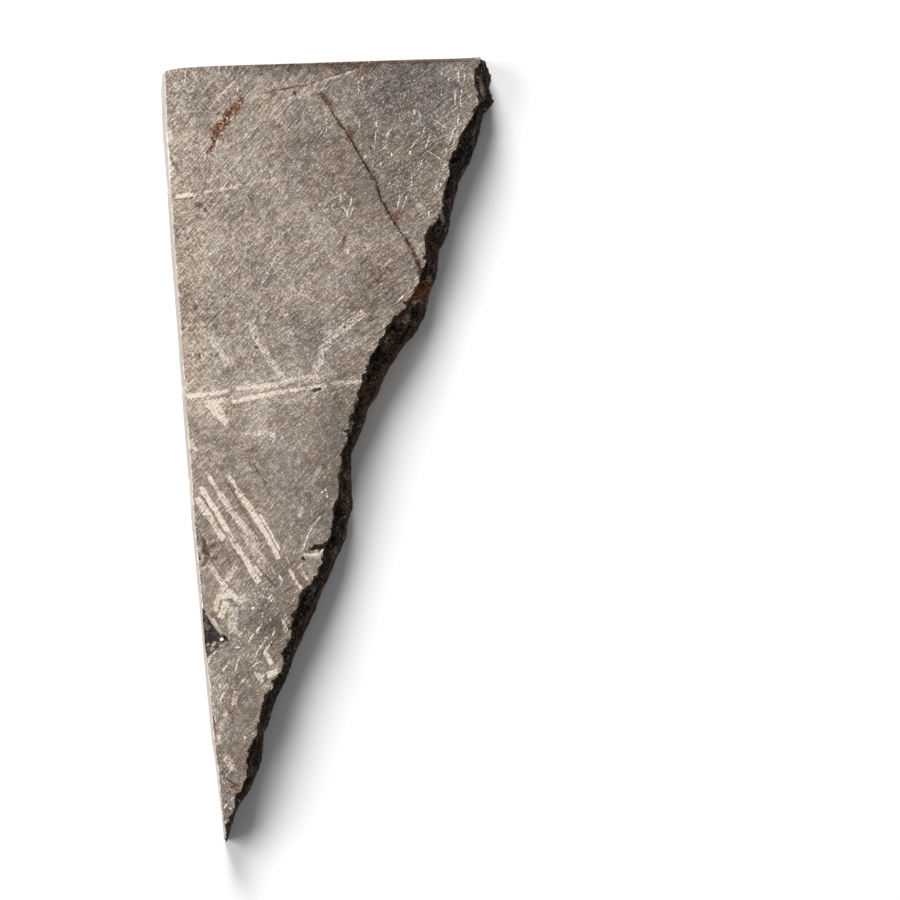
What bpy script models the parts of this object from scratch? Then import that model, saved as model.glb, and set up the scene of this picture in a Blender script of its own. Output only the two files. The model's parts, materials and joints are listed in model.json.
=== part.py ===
"""An etched slice of an iron meteorite: one solid, two sawn sides, one natural side.

The slice lies on its back. +Z is up, out of the etched face, and +Y runs from the tip to the
short sawn side. The origin is on the underside, below the middle of the slice. Sizes are in metres.
"""

import bisect
import math

import bmesh
import bpy
from mathutils import Vector, noise

# Driving sizes
SLICE_LENGTH = 0.120
SLICE_THICKNESS = 0.008
COLUMN_SPACING = 0.0007
LUMP_SIZE = 0.0030
LUMP_HEIGHT = 0.00055
GRIT_SIZE = 0.0012
GRIT_HEIGHT = 0.00018
CRACK_DEPTH = 0.0010
CRACK_WIDTH = 0.00026
CUTTER_CLEARANCE = 0.001

# The outline was read by eye from the photograph, in its pixels: x to the right, y downwards.
# SLICE_LENGTH gives the size of a pixel.
TOP_PIXEL = 59.0
TIP_PIXEL = 844.5
PIXEL = SLICE_LENGTH / (TIP_PIXEL - TOP_PIXEL)

# Long sawn side, from the corner to the tip: y, x of the face's edge, x at the underside
SAWN_SIDE = [
    (73, 165, 162), (90, 165.5, 161), (130, 167, 162.5), (178, 170, 166.5), (250, 175, 171),
    (330, 181, 177.5), (394, 185.5, 182), (450, 190, 186.5), (526, 195, 193), (598, 202, 200),
    (650, 206.5, 203.5), (740, 214.5, 212), (771, 218.5, 217.5), (824, 223.5, 223), (840, 225, 224.2),
]

# Short sawn side, from the corner to the natural side: x, y
SHORT_SIDE = [
    (165.5, 71.2), (170, 69.6), (177, 68.2), (187, 67.2),
    (212, 65.8), (255, 64.7), (344, 62.4), (446, 59.9),
]

# Natural side, from the short side to the tip: y, x of the face's edge, x where it stands out most
NATURAL_SIDE = [
    (59, 478, 480), (62, 479, 485), (67, 478, 488), (75, 477, 491), (80, 476.5, 491.5), (85, 475.5, 489),
    (92, 477, 490.5), (97, 478, 492.5), (101, 478, 493), (105, 477, 492), (109, 475, 488), (114, 473, 484),
    (118, 471, 482.5), (125, 467, 481.5), (132, 464, 479.5), (140, 464, 477.5), (150, 461, 474.5),
    (162, 455, 469.5), (174, 449.5, 463.5), (183, 447.5, 458), (191, 446, 457), (205, 443.5, 453),
    (211, 440, 451), (223, 437, 449), (230, 431, 448), (241, 427, 444.5), (250, 424, 440), (263, 426.5, 438),
    (270, 422.5, 437), (277, 419, 436), (284, 419.5, 434), (296, 413, 428), (302, 409, 427.5),
    (310, 402, 426.5), (317, 396, 424.5), (323, 391, 422), (330, 386, 418), (340, 381.5, 410),
    (346, 376, 403.5), (356, 371, 397.5), (367, 367, 390), (377, 363.5, 384), (390, 359, 379),
    (397, 357, 375.5), (408, 354, 368), (420, 350, 365), (433, 350, 359.5), (445, 347, 355),
    (451, 343, 352.5), (464, 342, 351.5), (474, 339, 351.5), (493, 337, 352), (502, 336, 352),
    (509, 333.5, 351), (520, 333, 348), (535, 329.5, 346), (549, 322, 341), (562, 320, 334.5),
    (576, 317, 327.5), (582, 312, 325), (590, 308.5, 322), (597, 302, 319), (611, 294.5, 314),
    (625, 291.5, 307), (638, 290, 301), (650, 283.5, 295.5), (663, 283, 290.5), (670, 279, 288),
    (682, 274.5, 283.5), (694, 266.5, 277.5), (704, 262, 273), (719, 258, 269), (733, 258, 264.5),
    (746, 251, 262), (761, 245.5, 259.5), (768, 247.5, 258), (782, 244.5, 253), (790, 242, 249.5),
    (800, 236.5, 243.5), (807, 235, 238), (811, 234, 236.5), (826, 228, 231.5), (834, 226.5, 229.5),
    (840, 226, 228), (844.5, 226, 226),
]

# How far out the natural side stands, as a share of its widest, down from the face: height share, reach
NATURAL_PROFILE = [
    (1.0, 0.0), (0.95, 0.20), (0.86, 0.43), (0.75, 0.63), (0.63, 0.79),
    (0.50, 0.91), (0.36, 1.0), (0.23, 0.98), (0.10, 0.88), (0.0, 0.72),
]

# The face stops short of the tip, which the natural side closes
TIP_START = 820.0
FACE_TIP = 834.0

# Crack in the face: x, y, from its open end by the short side to the natural side
CRACK = [
    (320, 93), (327, 103), (333, 114), (346, 132), (357, 150), (364, 163), (377, 185), (381, 200),
    (390, 215), (399, 230), (408, 243), (415, 257), (421, 271),
]

# Chip broken out of the face's edge on the long sawn side: x and y of its rim in the face, past the
# edge and back, and then x, y and the depth below the face, in metres, of its floor
CHIP_RIM = [
    (196, 599), (202.5, 610), (210.5, 622), (217.5, 633.5), (227.5, 638.5),
    (219, 644), (212.5, 650), (208, 657), (198, 667),
]
CHIP_FLOOR = [
    (199, 616, 0.0018), (205, 621, 0.0022), (211, 631, 0.0022), (218, 637.5, 0.0014),
    (214, 642, 0.0018), (208, 648, 0.0019), (201, 653, 0.0019),
]


def across(x):
    """The x of a pixel column, in metres from the middle of the outline."""
    middle = (min(row[2] for row in SAWN_SIDE) + max(row[2] for row in NATURAL_SIDE)) / 2
    return (x - middle) * PIXEL


def along(y):
    """The y of a pixel row, in metres from the middle of the outline."""
    return ((TOP_PIXEL + TIP_PIXEL) / 2 - y) * PIXEL


def between(rows, key):
    """The row of a table at a key in its first column, worked out between its neighbours."""
    keys = [row[0] for row in rows]
    after = min(max(bisect.bisect_right(keys, key), 1), len(rows) - 1)
    low, high = rows[after - 1], rows[after]
    share = (key - low[0]) / (high[0] - low[0])
    return [a + (b - a) * share for a, b in zip(low, high)]


def drawn_in(y, reach):
    """The pixel row y of a ring, whose tip is drawn in towards the face's tip where its reach is small."""
    if y <= TIP_START:
        return y
    tip = FACE_TIP + (TIP_PIXEL - FACE_TIP) * reach
    return TIP_START + (y - TIP_START) * (tip - TIP_START) / (TIP_PIXEL - TIP_START)


def natural_rows():
    """The natural side's rows, closer together than COLUMN_SPACING."""
    rows = [NATURAL_SIDE[0]]
    for low, high in zip(NATURAL_SIDE, NATURAL_SIDE[1:]):
        length = math.hypot(high[0] - low[0], high[2] - low[2]) * PIXEL
        steps = max(1, math.ceil(length / COLUMN_SPACING))
        rows += [between([low, high], low[0] + (high[0] - low[0]) * n / steps) for n in range(1, steps + 1)]
    return rows


def lump(point):
    """Height of the natural crust's lumps and grit at a point."""
    lumps = noise.noise(point / LUMP_SIZE)
    grit = noise.noise(point / GRIT_SIZE + Vector((7.0, 3.0, 5.0)))
    return lumps * LUMP_HEIGHT + grit * GRIT_HEIGHT


def ring(height, reach):
    """The slice's outline at a share of its thickness, anticlockwise from the long side's corner."""
    z = SLICE_THICKNESS * height
    points = [
        Vector((across(face + (back - face) * (1 - height)), along(drawn_in(y, reach)), z))
        for y, face, back in SAWN_SIDE
    ]
    rough = 1 - 0.7 * reach
    natural = []
    for y, face, widest in natural_rows():
        point = Vector((across(face + (widest - face) * reach), along(drawn_in(y, reach)), z))
        fade = min(1.0, (y - TOP_PIXEL) / 6, max(0.0, TIP_PIXEL - 4 - y) / 20)
        point.x += lump(point) * rough * fade
        natural.append(point)
    points += reversed(natural)
    points += [Vector((across(x), along(y), z)) for x, y in reversed(SHORT_SIDE)]
    return points


def skin(levels):
    """A closed mesh through rings that all hold the same number of points, from the top one down."""
    mesh = bmesh.new()
    loops = [[mesh.verts.new(point) for point in level] for level in levels]
    count = len(levels[0])
    for upper, lower in zip(loops, loops[1:]):
        for n in range(count):
            after = (n + 1) % count
            mesh.faces.new((upper[n], lower[n], lower[after], upper[after]))
    mesh.faces.new(loops[0])
    mesh.faces.new(reversed(loops[-1]))
    bmesh.ops.recalc_face_normals(mesh, faces=mesh.faces)
    return mesh


def add_object(name, mesh):
    data = bpy.data.meshes.new(name)
    mesh.to_mesh(data)
    mesh.free()
    thing = bpy.data.objects.new(name, data)
    bpy.context.collection.objects.link(thing)
    return thing


def add_cutter(name, mesh, target):
    """A hidden solid that is taken away from the target."""
    cutter = add_object(name, mesh)
    cutter.hide_render = True
    cutter.display_type = "WIRE"
    cut = target.modifiers.new(name, "BOOLEAN")
    cut.operation = "DIFFERENCE"
    cut.solver = "EXACT"
    cut.object = cutter
    return cutter


def chip_cutter(target):
    """The broken-out chip: its rim stands over the face, and its floor lies below it."""
    above = SLICE_THICKNESS + CUTTER_CLEARANCE
    mesh = bmesh.new()
    for x, y in CHIP_RIM:
        mesh.verts.new((across(x), along(y), above))
        mesh.verts.new((across(x), along(y), SLICE_THICKNESS))
    for x, y, depth in CHIP_FLOOR:
        mesh.verts.new((across(x), along(y), SLICE_THICKNESS - depth))
    hull = bmesh.ops.convex_hull(mesh, input=mesh.verts)
    loose = {v for v in hull["geom_interior"] + hull["geom_unused"] if isinstance(v, bmesh.types.BMVert)}
    bmesh.ops.delete(mesh, geom=list(loose), context="VERTS")
    bmesh.ops.recalc_face_normals(mesh, faces=mesh.faces)
    return add_cutter("chip_cutter", mesh, target)


def crack_cutter(target):
    """A narrow wedge along the crack, open at the face and closing to an edge below it."""
    points = [Vector((across(x), along(y), SLICE_THICKNESS)) for x, y in CRACK]
    mesh = bmesh.new()
    sections = []
    for n, point in enumerate(points):
        run = (points[min(n + 1, len(points) - 1)] - points[max(n - 1, 0)]).normalized()
        side = Vector((-run.y, run.x, 0))
        ends = min(n, len(points) - 1 - n)
        half = CRACK_WIDTH / 2 * (0.45 if ends == 0 else 1.0)
        rise = CUTTER_CLEARANCE * half / CRACK_DEPTH
        top = Vector((0, 0, CUTTER_CLEARANCE))
        bottom = point - Vector((0, 0, CRACK_DEPTH))
        corners = (point + side * (half + rise) + top, point - side * (half + rise) + top, bottom)
        sections.append([mesh.verts.new(corner) for corner in corners])
    for first, second in zip(sections, sections[1:]):
        for n in range(3):
            after = (n + 1) % 3
            mesh.faces.new((first[n], second[n], second[after], first[after]))
    mesh.faces.new(sections[0])
    mesh.faces.new(reversed(sections[-1]))
    bmesh.ops.recalc_face_normals(mesh, faces=mesh.faces)
    return add_cutter("crack_cutter", mesh, target)


def meteorite_material():
    """Sawn and etched nickel-iron."""
    material = bpy.data.materials.new("meteorite_iron")
    material.use_nodes = True
    shader = material.node_tree.nodes["Principled BSDF"]
    shader.inputs["Base Color"].default_value = (0.27, 0.24, 0.21, 1)
    shader.inputs["Roughness"].default_value = 0.45
    shader.inputs["Metallic"].default_value = 0.9
    return material


def meteorite_slice():
    slab = add_object("meteorite_slice", skin([ring(*level) for level in NATURAL_PROFILE]))
    slab.data.materials.append(meteorite_material())
    chip_cutter(slab)
    crack_cutter(slab)
    return slab


def main():
    for thing in list(bpy.data.objects):
        bpy.data.objects.remove(thing)
    meteorite_slice()


main()
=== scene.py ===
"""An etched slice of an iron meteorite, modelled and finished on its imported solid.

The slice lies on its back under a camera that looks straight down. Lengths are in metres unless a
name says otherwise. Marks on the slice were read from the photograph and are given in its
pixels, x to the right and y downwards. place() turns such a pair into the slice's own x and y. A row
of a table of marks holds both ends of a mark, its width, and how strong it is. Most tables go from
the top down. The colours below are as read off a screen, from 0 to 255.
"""

import json
import math

import bmesh
import bpy
import numpy as np
from bpy.props import FloatProperty, FloatVectorProperty, IntProperty, PointerProperty
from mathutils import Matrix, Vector, kdtree, noise

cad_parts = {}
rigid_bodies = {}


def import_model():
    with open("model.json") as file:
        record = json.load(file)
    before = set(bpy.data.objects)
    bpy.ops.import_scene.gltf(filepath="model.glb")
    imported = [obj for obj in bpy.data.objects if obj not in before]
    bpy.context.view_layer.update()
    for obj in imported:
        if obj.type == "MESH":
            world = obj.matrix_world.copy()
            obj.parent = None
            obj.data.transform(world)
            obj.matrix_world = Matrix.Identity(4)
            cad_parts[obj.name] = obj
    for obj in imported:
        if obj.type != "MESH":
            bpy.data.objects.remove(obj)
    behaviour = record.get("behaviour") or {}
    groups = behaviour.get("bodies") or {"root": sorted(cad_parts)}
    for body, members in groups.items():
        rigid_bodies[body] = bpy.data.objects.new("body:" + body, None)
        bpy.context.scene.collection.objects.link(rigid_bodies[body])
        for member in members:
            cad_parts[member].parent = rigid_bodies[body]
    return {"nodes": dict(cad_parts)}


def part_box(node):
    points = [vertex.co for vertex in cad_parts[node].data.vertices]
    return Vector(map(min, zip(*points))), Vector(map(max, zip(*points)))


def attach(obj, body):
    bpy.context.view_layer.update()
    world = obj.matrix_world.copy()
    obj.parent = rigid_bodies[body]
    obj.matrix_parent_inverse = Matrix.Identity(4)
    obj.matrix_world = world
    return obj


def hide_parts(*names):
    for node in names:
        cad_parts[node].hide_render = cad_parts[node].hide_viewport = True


bl_info = {
    "name": "Etched Meteorite Slice",
    "version": (1, 0, 0),
    "blender": (4, 5, 0),
    "location": "3D View > Sidebar > Meteorite",
    "description": "Models an etched slice of an iron meteorite on its packed solid",
    "category": "Add Mesh",
}

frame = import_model()
NODE = "meteorite_slice"
BODY = "root"
LOW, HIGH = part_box(NODE)
THICKNESS = HIGH.z
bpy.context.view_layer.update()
MM = 0.001

# The photograph's rows of the slice's two ends, and its column of the slice's middle
TOP_PIXEL = 59.0
TIP_PIXEL = 844.5
MIDDLE_COLUMN = 327.0
MIDDLE_ROW = (TOP_PIXEL + TIP_PIXEL) / 2
PHOTO_PIXELS = 900
PIXEL = (HIGH.y - LOW.y) / (TIP_PIXEL - TOP_PIXEL)

# How near two heights are taken as one
TOUCH = 0.01 * MM

# Materials of the slice, in the order of its slots
FACE, SAWN, CRUST, BROKEN = range(4)

# Crack in the face, from its fine end to the natural side, and its depth in the solid
CRACK = [
    (320, 93), (327, 103), (333, 114), (346, 132), (357, 150), (364, 163), (377, 185), (381, 200),
    (390, 215), (399, 230), (408, 243), (415, 257), (421, 271),
]
CRACK_DEPTH = 0.0010

# How far from its middle line the crack's sides are looked for, and how far down the crack, in pixels,
# its fine end reaches
CRACK_REACH = 0.3 * MM
CRACK_START = (26, 2)

# Chip broken out of the long sawn side: its middle, and a radius and a depth that hold it all
CHIP = (210, 634)
CHIP_RADIUS = 0.0062
CHIP_DEPTH = 0.0035

# Bead of metal left standing in the chip, which gets a painted highlight: its middle, its radius and its
# height
BEAD = (221.6, 639)
BEAD_RADIUS = 0.00052
BEAD_HEIGHT = 0.0007

# Bites out of the natural side's upper edge: x, y and depth in pixels. Then how many times its depth a
# bite reaches, and the way into the slice
BITES = [
    (457.6, 145, 7.6), (451.8, 160, 6.8), (440.3, 210.7, 2.4), (436.8, 224, 3.4), (345, 431, 1.9),
    (342.6, 452, 3.2), (341, 466, 2.2), (317.8, 566.6, 1.6), (301.7, 593, 3), (282, 656, 3.6),
    (267.5, 689, 1.6), (248.8, 753, 1.8),
]
BITE_REACH = 3.0
INWARD = Vector((-0.95, 0.31, 0.0))

# The chip's pale ledges, and its darkest hollows, which are painted darker as shade
LEDGES = [
    (206, 612, 213, 621.5, 4, 0.9), (212, 620, 222.5, 633.5, 5, 1), (205, 625, 208.5, 630, 4, 0.45),
    (212, 645.4, 216, 642, 2.4, 0.5), (207, 645, 208.6, 644, 2, 0.9), (210, 650, 213, 648, 3, 0.4),
]
SHADED_HOLLOWS = [
    (206.5, 617, 216, 633.5, 2.2, 0.7), (207, 636, 216, 639, 8, 0.8), (224, 636, 227, 640, 4, 0.8),
    (209, 644, 214, 640, 5, 0.6), (208, 651, 209, 654, 4, 0.8),
]

# How far the foot of the sawn sides stands out from the solid, in pixels: along the long side by its
# rows, and along the short side by its columns
FOOT_ROWS = ((60, 440, 500, 600, 625, 745, 765, 800, 845), (1.0, 1.1, 1.9, 2.1, 1.3, 1.2, 1.9, 1.6, 1.0))
FOOT_COLUMNS = ((165, 215, 300, 390, 440, 490), (0.1, 0.2, 0.8, 1.4, 1.2, 0.9))

# How far the crust stands out from the solid, in pixels by the rows: at its upper edge and at its foot
RIM_ROWS = (
    (
        60, 76, 200, 210, 232, 360, 440, 484, 500, 520, 545, 562, 578, 592, 608, 645, 657, 670, 706, 720,
        727, 733, 739, 746, 770, 790, 800,
    ),
    (
        2, 0, 0, 1.8, 0, 0.6, 0, 0, 1.6, 1.8, 0.8, 2.2, 1.8, 0.3, 1.7, 1.5, 0.4, 2.2, 3.0, 1.2,
        1.0, -1.8, -0.6, 2.4, 2.0, 1, 0,
    ),
)
CRUST_ROWS = (
    (60, 260, 290, 372, 392, 410, 440, 464, 488, 512, 545, 560, 590, 685, 705, 736, 770, 800),
    (0.7, 0.6, 0, 0, 1, 0.4, 1.1, 0, -0.5, 0.8, 0.7, 0.1, 1.4, 1.3, 0.6, 0, 0.8, 0),
)

# Rows over which the crust calms down towards the tip, and gets knobby towards the top, and the row
# below which all of the side is crust
CALM_TIP = (842, 810)
KNOBBY_TOP = (125, 100)
CRUSTED_TIP = 838

# Longest edges of the mesh at the bites, along the face's edge, in the crack and in the chip, and how
# often the mesh is split to reach them
BITE_CELL = 0.4 * MM
RIM_CELL = 0.14 * MM
CRACK_CELL = 0.3 * MM
CHIP_CELL = 0.2 * MM
SPLITS = 5

# Seed of the random shifts in the crack and the chip, so that each run gives the same ones
SEED = 1

# Pits in the face: x, y, radius in pixels, depth in millimetres
PITS = [
    (295, 93, 2.2, 0.04), (214.5, 142, 2.2, 0.05), (208, 151, 2.4, 0.05), (389, 268.5, 2.4, 0.05),
    (256.4, 337, 2.2, 0.03), (256.8, 347.4, 2.2, 0.03), (199.6, 356, 2.2, 0.05),
    (319.6, 389.3, 2.6, 0.05), (312, 390.4, 2.2, 0.04), (344, 431, 2.4, 0.15), (205, 541, 3, 0.08),
    (316, 547.5, 3.4, 0.2), (322, 549, 3, 0.2), (209.5, 555, 3.2, 0.09), (303.4, 558.6, 2.2, 0.12),
    (221, 560, 2.2, 0.05), (203, 567, 2.4, 0.07), (226.2, 638.4, 2.2, 0.4),
]

# Rust that stands in grains
RUST_GRAINS = [
    (242, 96.5, 240.5, 102.4, 5, 1), (239.5, 104, 232, 112, 8, 1), (231, 110, 225, 118, 8, 1),
    (227.5, 119, 219, 128, 9, 1), (223, 127, 211, 133, 8, 1), (212, 136, 222.5, 136.3, 4, 0.8),
    (215, 139, 213.6, 145, 3, 0.8), (211.5, 148, 209, 153.5, 4.4, 0.7),
]

# Bands, plates and patches that are lighter than the rest of the face
BANDS = [
    (322, 80.5, 364, 67.5, 3.4, 0.1), (167, 128, 171.5, 143, 6, 0.1), (167.8, 152, 169.4, 178, 4.4, 0.16),
    (169, 160, 174, 177, 3.4, 0.1), (239, 186, 286, 178, 3.6, 0.07), (221.5, 188, 226, 187, 4, 0.13),
    (203.8, 192.7, 239, 186, 4, 0.08), (175.6, 197, 196.2, 193.8, 4.6, 0.23),
    (365, 311.6, 324.7, 342.2, 8.5, 0.1), (247.9, 323, 262, 348.6, 6, 0.08),
    (332, 330, 315.5, 370.3, 9, 0.08), (209.6, 337, 228.8, 365.2, 6.5, 0.09),
    (262, 348, 283, 379, 8, 0.08), (300, 377, 318, 376.5, 5, 0.15), (272, 384.8, 303, 377.6, 6, 0.09),
    (331, 383, 362.7, 380.5, 2.6, 0.12), (244, 386, 320, 378, 11, 0.03), (343, 383.3, 354, 382, 4, 0.18),
    (236.4, 388.6, 273.4, 384.6, 5, 0.17), (293, 389.8, 326, 384.9, 4, 0.12),
    (264.5, 394.8, 293, 389.8, 4.6, 0.15), (206, 394.2, 228.8, 391.4, 4.4, 0.23),
    (187.3, 396.5, 208, 394.2, 6, 0.23), (232.6, 402.2, 264.5, 394.8, 4.6, 0.18),
    (208, 402, 226, 400, 7, 0.11), (206, 402.5, 222, 401.5, 5, 0.2), (214, 403, 228, 421, 6, 0.16),
    (207, 404, 226.2, 424, 6, 0.2), (248, 432, 276, 434.6, 7, 0.08), (185.5, 428, 189, 448, 3, 0.14),
    (196, 452, 190, 440, 6, 0.15), (331, 461, 324, 480, 3.4, 0.08), (321.2, 465.6, 312, 485.1, 5, 0.07),
    (187, 470, 194, 486, 7, 0.06), (228.2, 474.8, 238, 491, 4, 0.19), (208.7, 476, 219, 492, 5, 0.2),
    (201.2, 486.6, 208, 499.5, 5.6, 0.25), (236, 489, 246, 502.6, 6.6, 0.17),
    (219, 492, 230.5, 510.4, 7, 0.18), (207.5, 498.5, 218.5, 516, 6.6, 0.28),
    (244.5, 500.5, 258.6, 522.6, 7, 0.25), (301.8, 508, 299, 517.6, 6, 0.1),
    (197, 497.6, 223.6, 540.2, 8, 0.18), (218, 515, 228, 531, 6.4, 0.27),
    (259.6, 514.8, 270, 532, 3, 0.25), (229, 509, 253.5, 538, 7, 0.16), (257.6, 521, 267, 535, 6, 0.24),
    (227, 529, 237, 548, 6, 0.15), (269.6, 531.4, 280.6, 550.4, 3.2, 0.26),
    (262, 552, 250, 534, 13, 0.04), (266, 533, 278.7, 558.6, 5.6, 0.24), (251, 540, 262, 557, 5, 0.07),
    (236.5, 546.5, 246, 560, 6, 0.22), (243.5, 531, 271.8, 577, 12, 0.07),
    (304, 555.8, 321, 553.4, 4.2, 0.17), (285.6, 556.3, 289.4, 564.6, 2, 0.14),
    (255, 566, 261.6, 575.6, 4, 0.2), (246, 560, 258.6, 583, 7, 0.27),
    (236.2, 565.5, 226, 581.5, 6, 0.13), (209.8, 564.3, 222, 583, 5.6, 0.13),
    (301.7, 571.2, 308.6, 580.4, 3, 0.12), (289.1, 568.9, 301.7, 589.6, 4, 0.21),
    (221.5, 582, 233, 597, 6, 0.21), (230.5, 590.5, 236.6, 600, 5.6, 0.28),
    (224, 585, 215.6, 605.6, 6.4, 0.16), (217, 597, 232, 594.6, 7, 0.24),
    (236.5, 602.5, 246.4, 596, 8, 0.08), (217.6, 600, 215.6, 612, 5, 0.14),
    (226.6, 602, 220, 617.6, 8, 0.26), (284, 613.6, 289, 624, 3.4, 0.13), (233, 607, 233, 634, 12, 0.09),
    (211.6, 618.8, 220.4, 631.4, 4.8, 0.16), (282.6, 619, 286.6, 632, 5, 0.2),
    (289, 628, 279, 644, 9, 0.06), (263.5, 650, 271.5, 663.6, 5, 0.29),
    (267, 675.6, 277, 671.2, 7.6, 0.22), (254, 674, 263.6, 676.4, 5, 0.24),
    (258, 676, 261.8, 682.6, 5, 0.2), (244.7, 678.8, 240.9, 684.1, 3, 0.1),
    (269, 680, 263.5, 689, 5, 0.08), (260.8, 688, 270, 685.6, 1.8, 0.14),
    (236.8, 691, 233.8, 705, 6.4, 0.08), (227.6, 711, 224.2, 717.6, 5, 0.15),
    (224.4, 719.6, 219.6, 730, 5.4, 0.08), (218.4, 735, 218.8, 744, 5, 0.17),
    (224.4, 756.2, 230.4, 755.7, 1.6, 0.14), (229.6, 756.4, 236.4, 771.4, 2, 0.11),
    (224.6, 757.4, 233.8, 770.6, 7.4, 0.15),
]

# Pale ledges of the crust
PALE_CRUST = [
    (480, 78, 484, 96, 5, 0.5), (439, 206, 443.5, 222, 5, 0.9), (412.4, 303.5, 420.6, 299.4, 2.4, 1),
    (409, 312, 404, 322, 6, 0.5), (352, 420, 349, 432, 4, 0.5), (331, 524, 326, 540, 4, 0.5),
]
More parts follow.
